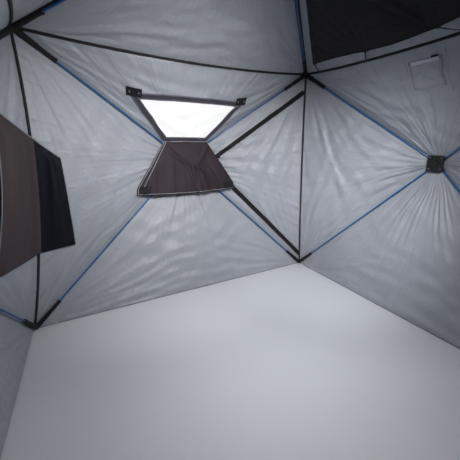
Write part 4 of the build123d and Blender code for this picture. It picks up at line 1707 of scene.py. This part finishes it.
class HUT_OT_details(bpy.types.Operator):
    """Adds the hubs' screws, the pull tabs' loops and the stitching on the seam bindings"""
    bl_idname = "hut.details"
    bl_label = "Screws, loops and stitches"

    def execute(self, context):
        kit = shared_materials(context)
        screws, loops, threads = [], [], []
        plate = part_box("back_hub")[0][1] + plate_thickness
        for wall, degrees in wall_turns.items():
            for x, z in screw_places:
                spot = turn((x, plate, hub_height + z), degrees)
                screws.append((spot, turn((0.0, -1.0, 0.0), degrees)))
            loops.append(pull_loop(f"{wall}_loop", (0.0, hub_reach + loop_lift, hub_height), (0, 1, 0),
                                   (0, 0, -1), degrees, kit["binding"]))
            for ends in (corner_seam, eaves_seam):
                path = inset(seam_arc(*ends, np.linspace(0.01, 0.99, seam_points)), off_lining("stitch"))
                threads.append(turn(path, degrees))
        roof_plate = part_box("roof_hub")[0][2] + plate_thickness
        screws.extend(((x, y, roof_plate), (0, 0, -1)) for x, y in screw_places)
        loops.append(pull_loop("roof_loop", (0.0, 0.0, roof_hub_height + loop_lift), (0, 0, 1),
                               (1, 0, 0), 0.0, kit["binding"]))
        lathe("hub_screws", screws, screw_profile, kit["metal"])
        loop = join(loops, "hub_loops")
        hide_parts("pull_tabs")
        stitches = spindles("seam_stitches", threads, pitch=0.009, length=0.0056, width=0.0008,
                            material=kit["thread"])
        return {"FINISHED"}


def pull_loop(name, place, outward, down, degrees, material):
    """A loop of webbing sewn to a hub's cap, hanging a little open."""
    share = np.linspace(0, 1, 44)
    place, outward, down = (np.asarray(v, float) for v in (place, outward, down))
    along = -0.030 + 0.096 * np.sin(np.pi * share) ** 0.85
    out = 0.0018 + 0.0034 * smooth_step(share, 0.35, 0.65) + 0.0016 * np.sin(np.pi * share)
    path = place + along[:, None] * down + out[:, None] * outward
    across = np.broadcast_to(np.cross(down, outward), path.shape)
    return sweep(name, path, across, hang(path, across), 0.0125, 0.0011, material, degrees)


class HUT_OT_stage(bpy.types.Operator):
    """Sets the floor, the soft light and the camera"""
    bl_idname = "hut.stage"
    bl_label = "Stage"

    def execute(self, context):
        scene = context.scene
        settings = scene.hut_stage
        scene.view_settings.view_transform = "Standard"
        make_floor(settings)
        make_sky(scene, settings)
        make_lamps(settings)
        make_camera(scene)
        return {"FINISHED"}


def make_floor(settings):
    """Wide pale floor with a faint mottle, just under the hut's feet."""
    half, level = 14.0, -0.0005
    shader = Shader("pale floor")
    mottle = shader.noise(shader.place(), 1.7, 3.0)
    colour = tuple(settings.floor_colour)
    shader.finish(Base_Color=shader.mix(mottle, shade(colour, 0.96), colour), Roughness=0.8)
    mesh = bpy.data.meshes.new("floor")
    corners = [(x * half, y * half, level) for x, y in ((-1, -1), (1, -1), (1, 1), (-1, 1))]
    mesh.from_pydata(corners, [], [(0, 1, 2, 3)])
    mesh.materials.append(shader.material)
    floor = bpy.data.objects.new("floor", mesh)
    bpy.context.scene.collection.objects.link(floor)


def make_sky(scene, settings):
    """Plain pale world, white to the camera."""
    world = bpy.data.worlds.new("studio")
    scene.world = world
    world.use_nodes = True
    nodes, links = world.node_tree.nodes, world.node_tree.links
    nodes.clear()
    path = nodes.new("ShaderNodeLightPath")
    light, seen = nodes.new("ShaderNodeBackground"), nodes.new("ShaderNodeBackground")
    light.inputs["Color"].default_value = (0.93, 0.96, 1.0, 1.0)
    light.inputs["Strength"].default_value = settings.sky_strength
    seen.inputs["Color"].default_value = (1.0, 1.0, 1.0, 1.0)
    seen.inputs["Strength"].default_value = 1.0
    mix = nodes.new("ShaderNodeMixShader")
    output = nodes.new("ShaderNodeOutputWorld")
    links.new(path.outputs["Is Camera Ray"], mix.inputs[0])
    links.new(light.outputs[0], mix.inputs[1])
    links.new(seen.outputs[0], mix.inputs[2])
    links.new(mix.outputs[0], output.inputs["Surface"])


def add_lamp(name, place, target, size, power, beam, colour):
    """A soft rectangular lamp that points at a target, its beam spread over so many degrees."""
    lamp = bpy.data.lights.new(name, "AREA")
    lamp.shape = "RECTANGLE"
    lamp.size, lamp.size_y = size
    lamp.energy = power
    lamp.spread = math.radians(beam)
    lamp.color = colour
    holder = bpy.data.objects.new(name, lamp)
    aim = Vector(target) - Vector(place)
    holder.matrix_world = Matrix.Translation(place) @ aim.to_track_quat("-Z", "Y").to_matrix().to_4x4()
    holder.visible_camera = False
    bpy.context.scene.collection.objects.link(holder)


# Lamps inside the hut, named for what they light: place, target, size, share of the power, beam in degrees
inside_lamps = {
    "back lamp": ((-0.20, -0.60, 1.60), (-0.12, 1.2, 0.98), (0.5, 0.30), 0.84, 80),
    "right lamp": ((0.0, -0.72, 1.50), (1.15, 0.68, 0.68), (0.35, 0.3), 0.52, 64),
    "left lamp": ((0.35, -0.30, 1.50), (-1.2, 0.20, 1.15), (0.3, 0.3), 0.22, 74),
    "floor lamp": ((0.1, 0.0, 1.55), (0.1, 0.1, 0.0), (0.8, 0.8), 0.58, 110),
}
white, warm_white = (1.0, 1.0, 1.0), (1.0, 0.985, 0.97)


def make_lamps(settings):
    """Soft light inside the hut from its front and roof, and some from outside."""
    for name, (place, target, size, share, beam) in inside_lamps.items():
        colour = warm_white if name == "back lamp" else white
        add_lamp(name, place, target, size, settings.lamp_power * share, beam, colour)
    add_lamp("outside lamp", (-3.2, -4.0, 4.6), (0.0, 0.0, 0.9), (3.5, 3.5), settings.outside_power, 170,
             white)


def make_camera(scene):
    """Camera inside the hut near its front left corner, as the photograph was taken."""
    place = Vector((-0.71065, -1.02719, 1.20532))
    yaw, pitch, roll = 0.52493, -0.25652, 0.00372
    focal_pixels, frame_pixels, sensor = 282.69, 460.0, 36.0
    centre = (251.01, 220.28)
    forward = Vector((math.sin(yaw) * math.cos(pitch), math.cos(yaw) * math.cos(pitch), math.sin(pitch)))
    level = Vector((math.cos(yaw), -math.sin(yaw), 0.0))
    upward = level.cross(forward)
    right = level * math.cos(roll) + upward * math.sin(roll)
    up = upward * math.cos(roll) - level * math.sin(roll)
    camera = bpy.data.cameras.new("camera")
    camera.sensor_width = sensor
    camera.lens = focal_pixels / frame_pixels * sensor
    camera.shift_x = (frame_pixels / 2 - centre[0]) / frame_pixels
    camera.shift_y = (centre[1] - frame_pixels / 2) / frame_pixels
    camera.clip_start = 0.02
    holder = bpy.data.objects.new("camera", camera)
    holder.matrix_world = Matrix((
        (right.x, up.x, -forward.x, place.x),
        (right.y, up.y, -forward.y, place.y),
        (right.z, up.z, -forward.z, place.z),
        (0.0, 0.0, 0.0, 1.0),
    ))
    scene.collection.objects.link(holder)
    scene.camera = holder


class HUT_PT_panel(bpy.types.Panel):
    """The hut's settings and the steps that dress it"""
    bl_idname = "HUT_PT_panel"
    bl_label = "Hut"
    bl_space_type = "VIEW_3D"
    bl_region_type = "UI"
    bl_category = "Hut"

    def draw(self, context):
        for group in ("hut_cloth", "hut_hardware", "hut_stage"):
            settings = getattr(context.scene, group)
            for name in settings.__annotations__:
                self.layout.prop(settings, name)
        for operator in operators:
            self.layout.operator(operator.bl_idname)


operators = (
    HUT_OT_stage,
    HUT_OT_cloth,
    HUT_OT_seams,
    HUT_OT_poles,
    HUT_OT_hubs,
    HUT_OT_windows,
    HUT_OT_covers,
    HUT_OT_door_zips,
    HUT_OT_vents,
    HUT_OT_loft,
    HUT_OT_pocket,
    HUT_OT_skirt,
    HUT_OT_details,
)
settings_groups = {
    "hut_cloth": HutClothSettings,
    "hut_hardware": HutHardwareSettings,
    "hut_stage": HutStageSettings,
}


def register():
    for group in settings_groups.values():
        bpy.utils.register_class(group)
    for name, group in settings_groups.items():
        setattr(bpy.types.Scene, name, PointerProperty(type=group))
    for operator in operators:
        bpy.utils.register_class(operator)
    bpy.utils.register_class(HUT_PT_panel)


def unregister():
    bpy.utils.unregister_class(HUT_PT_panel)
    for operator in reversed(operators):
        bpy.utils.unregister_class(operator)
    for name, group in settings_groups.items():
        delattr(bpy.types.Scene, name)
        bpy.utils.unregister_class(group)


def main():
    """Dresses the hut step by step."""
    register()
    for operator in operators:
        group, name = operator.bl_idname.split(".")
        getattr(getattr(bpy.ops, group), name)()


if __name__ == "__main__":
    main()
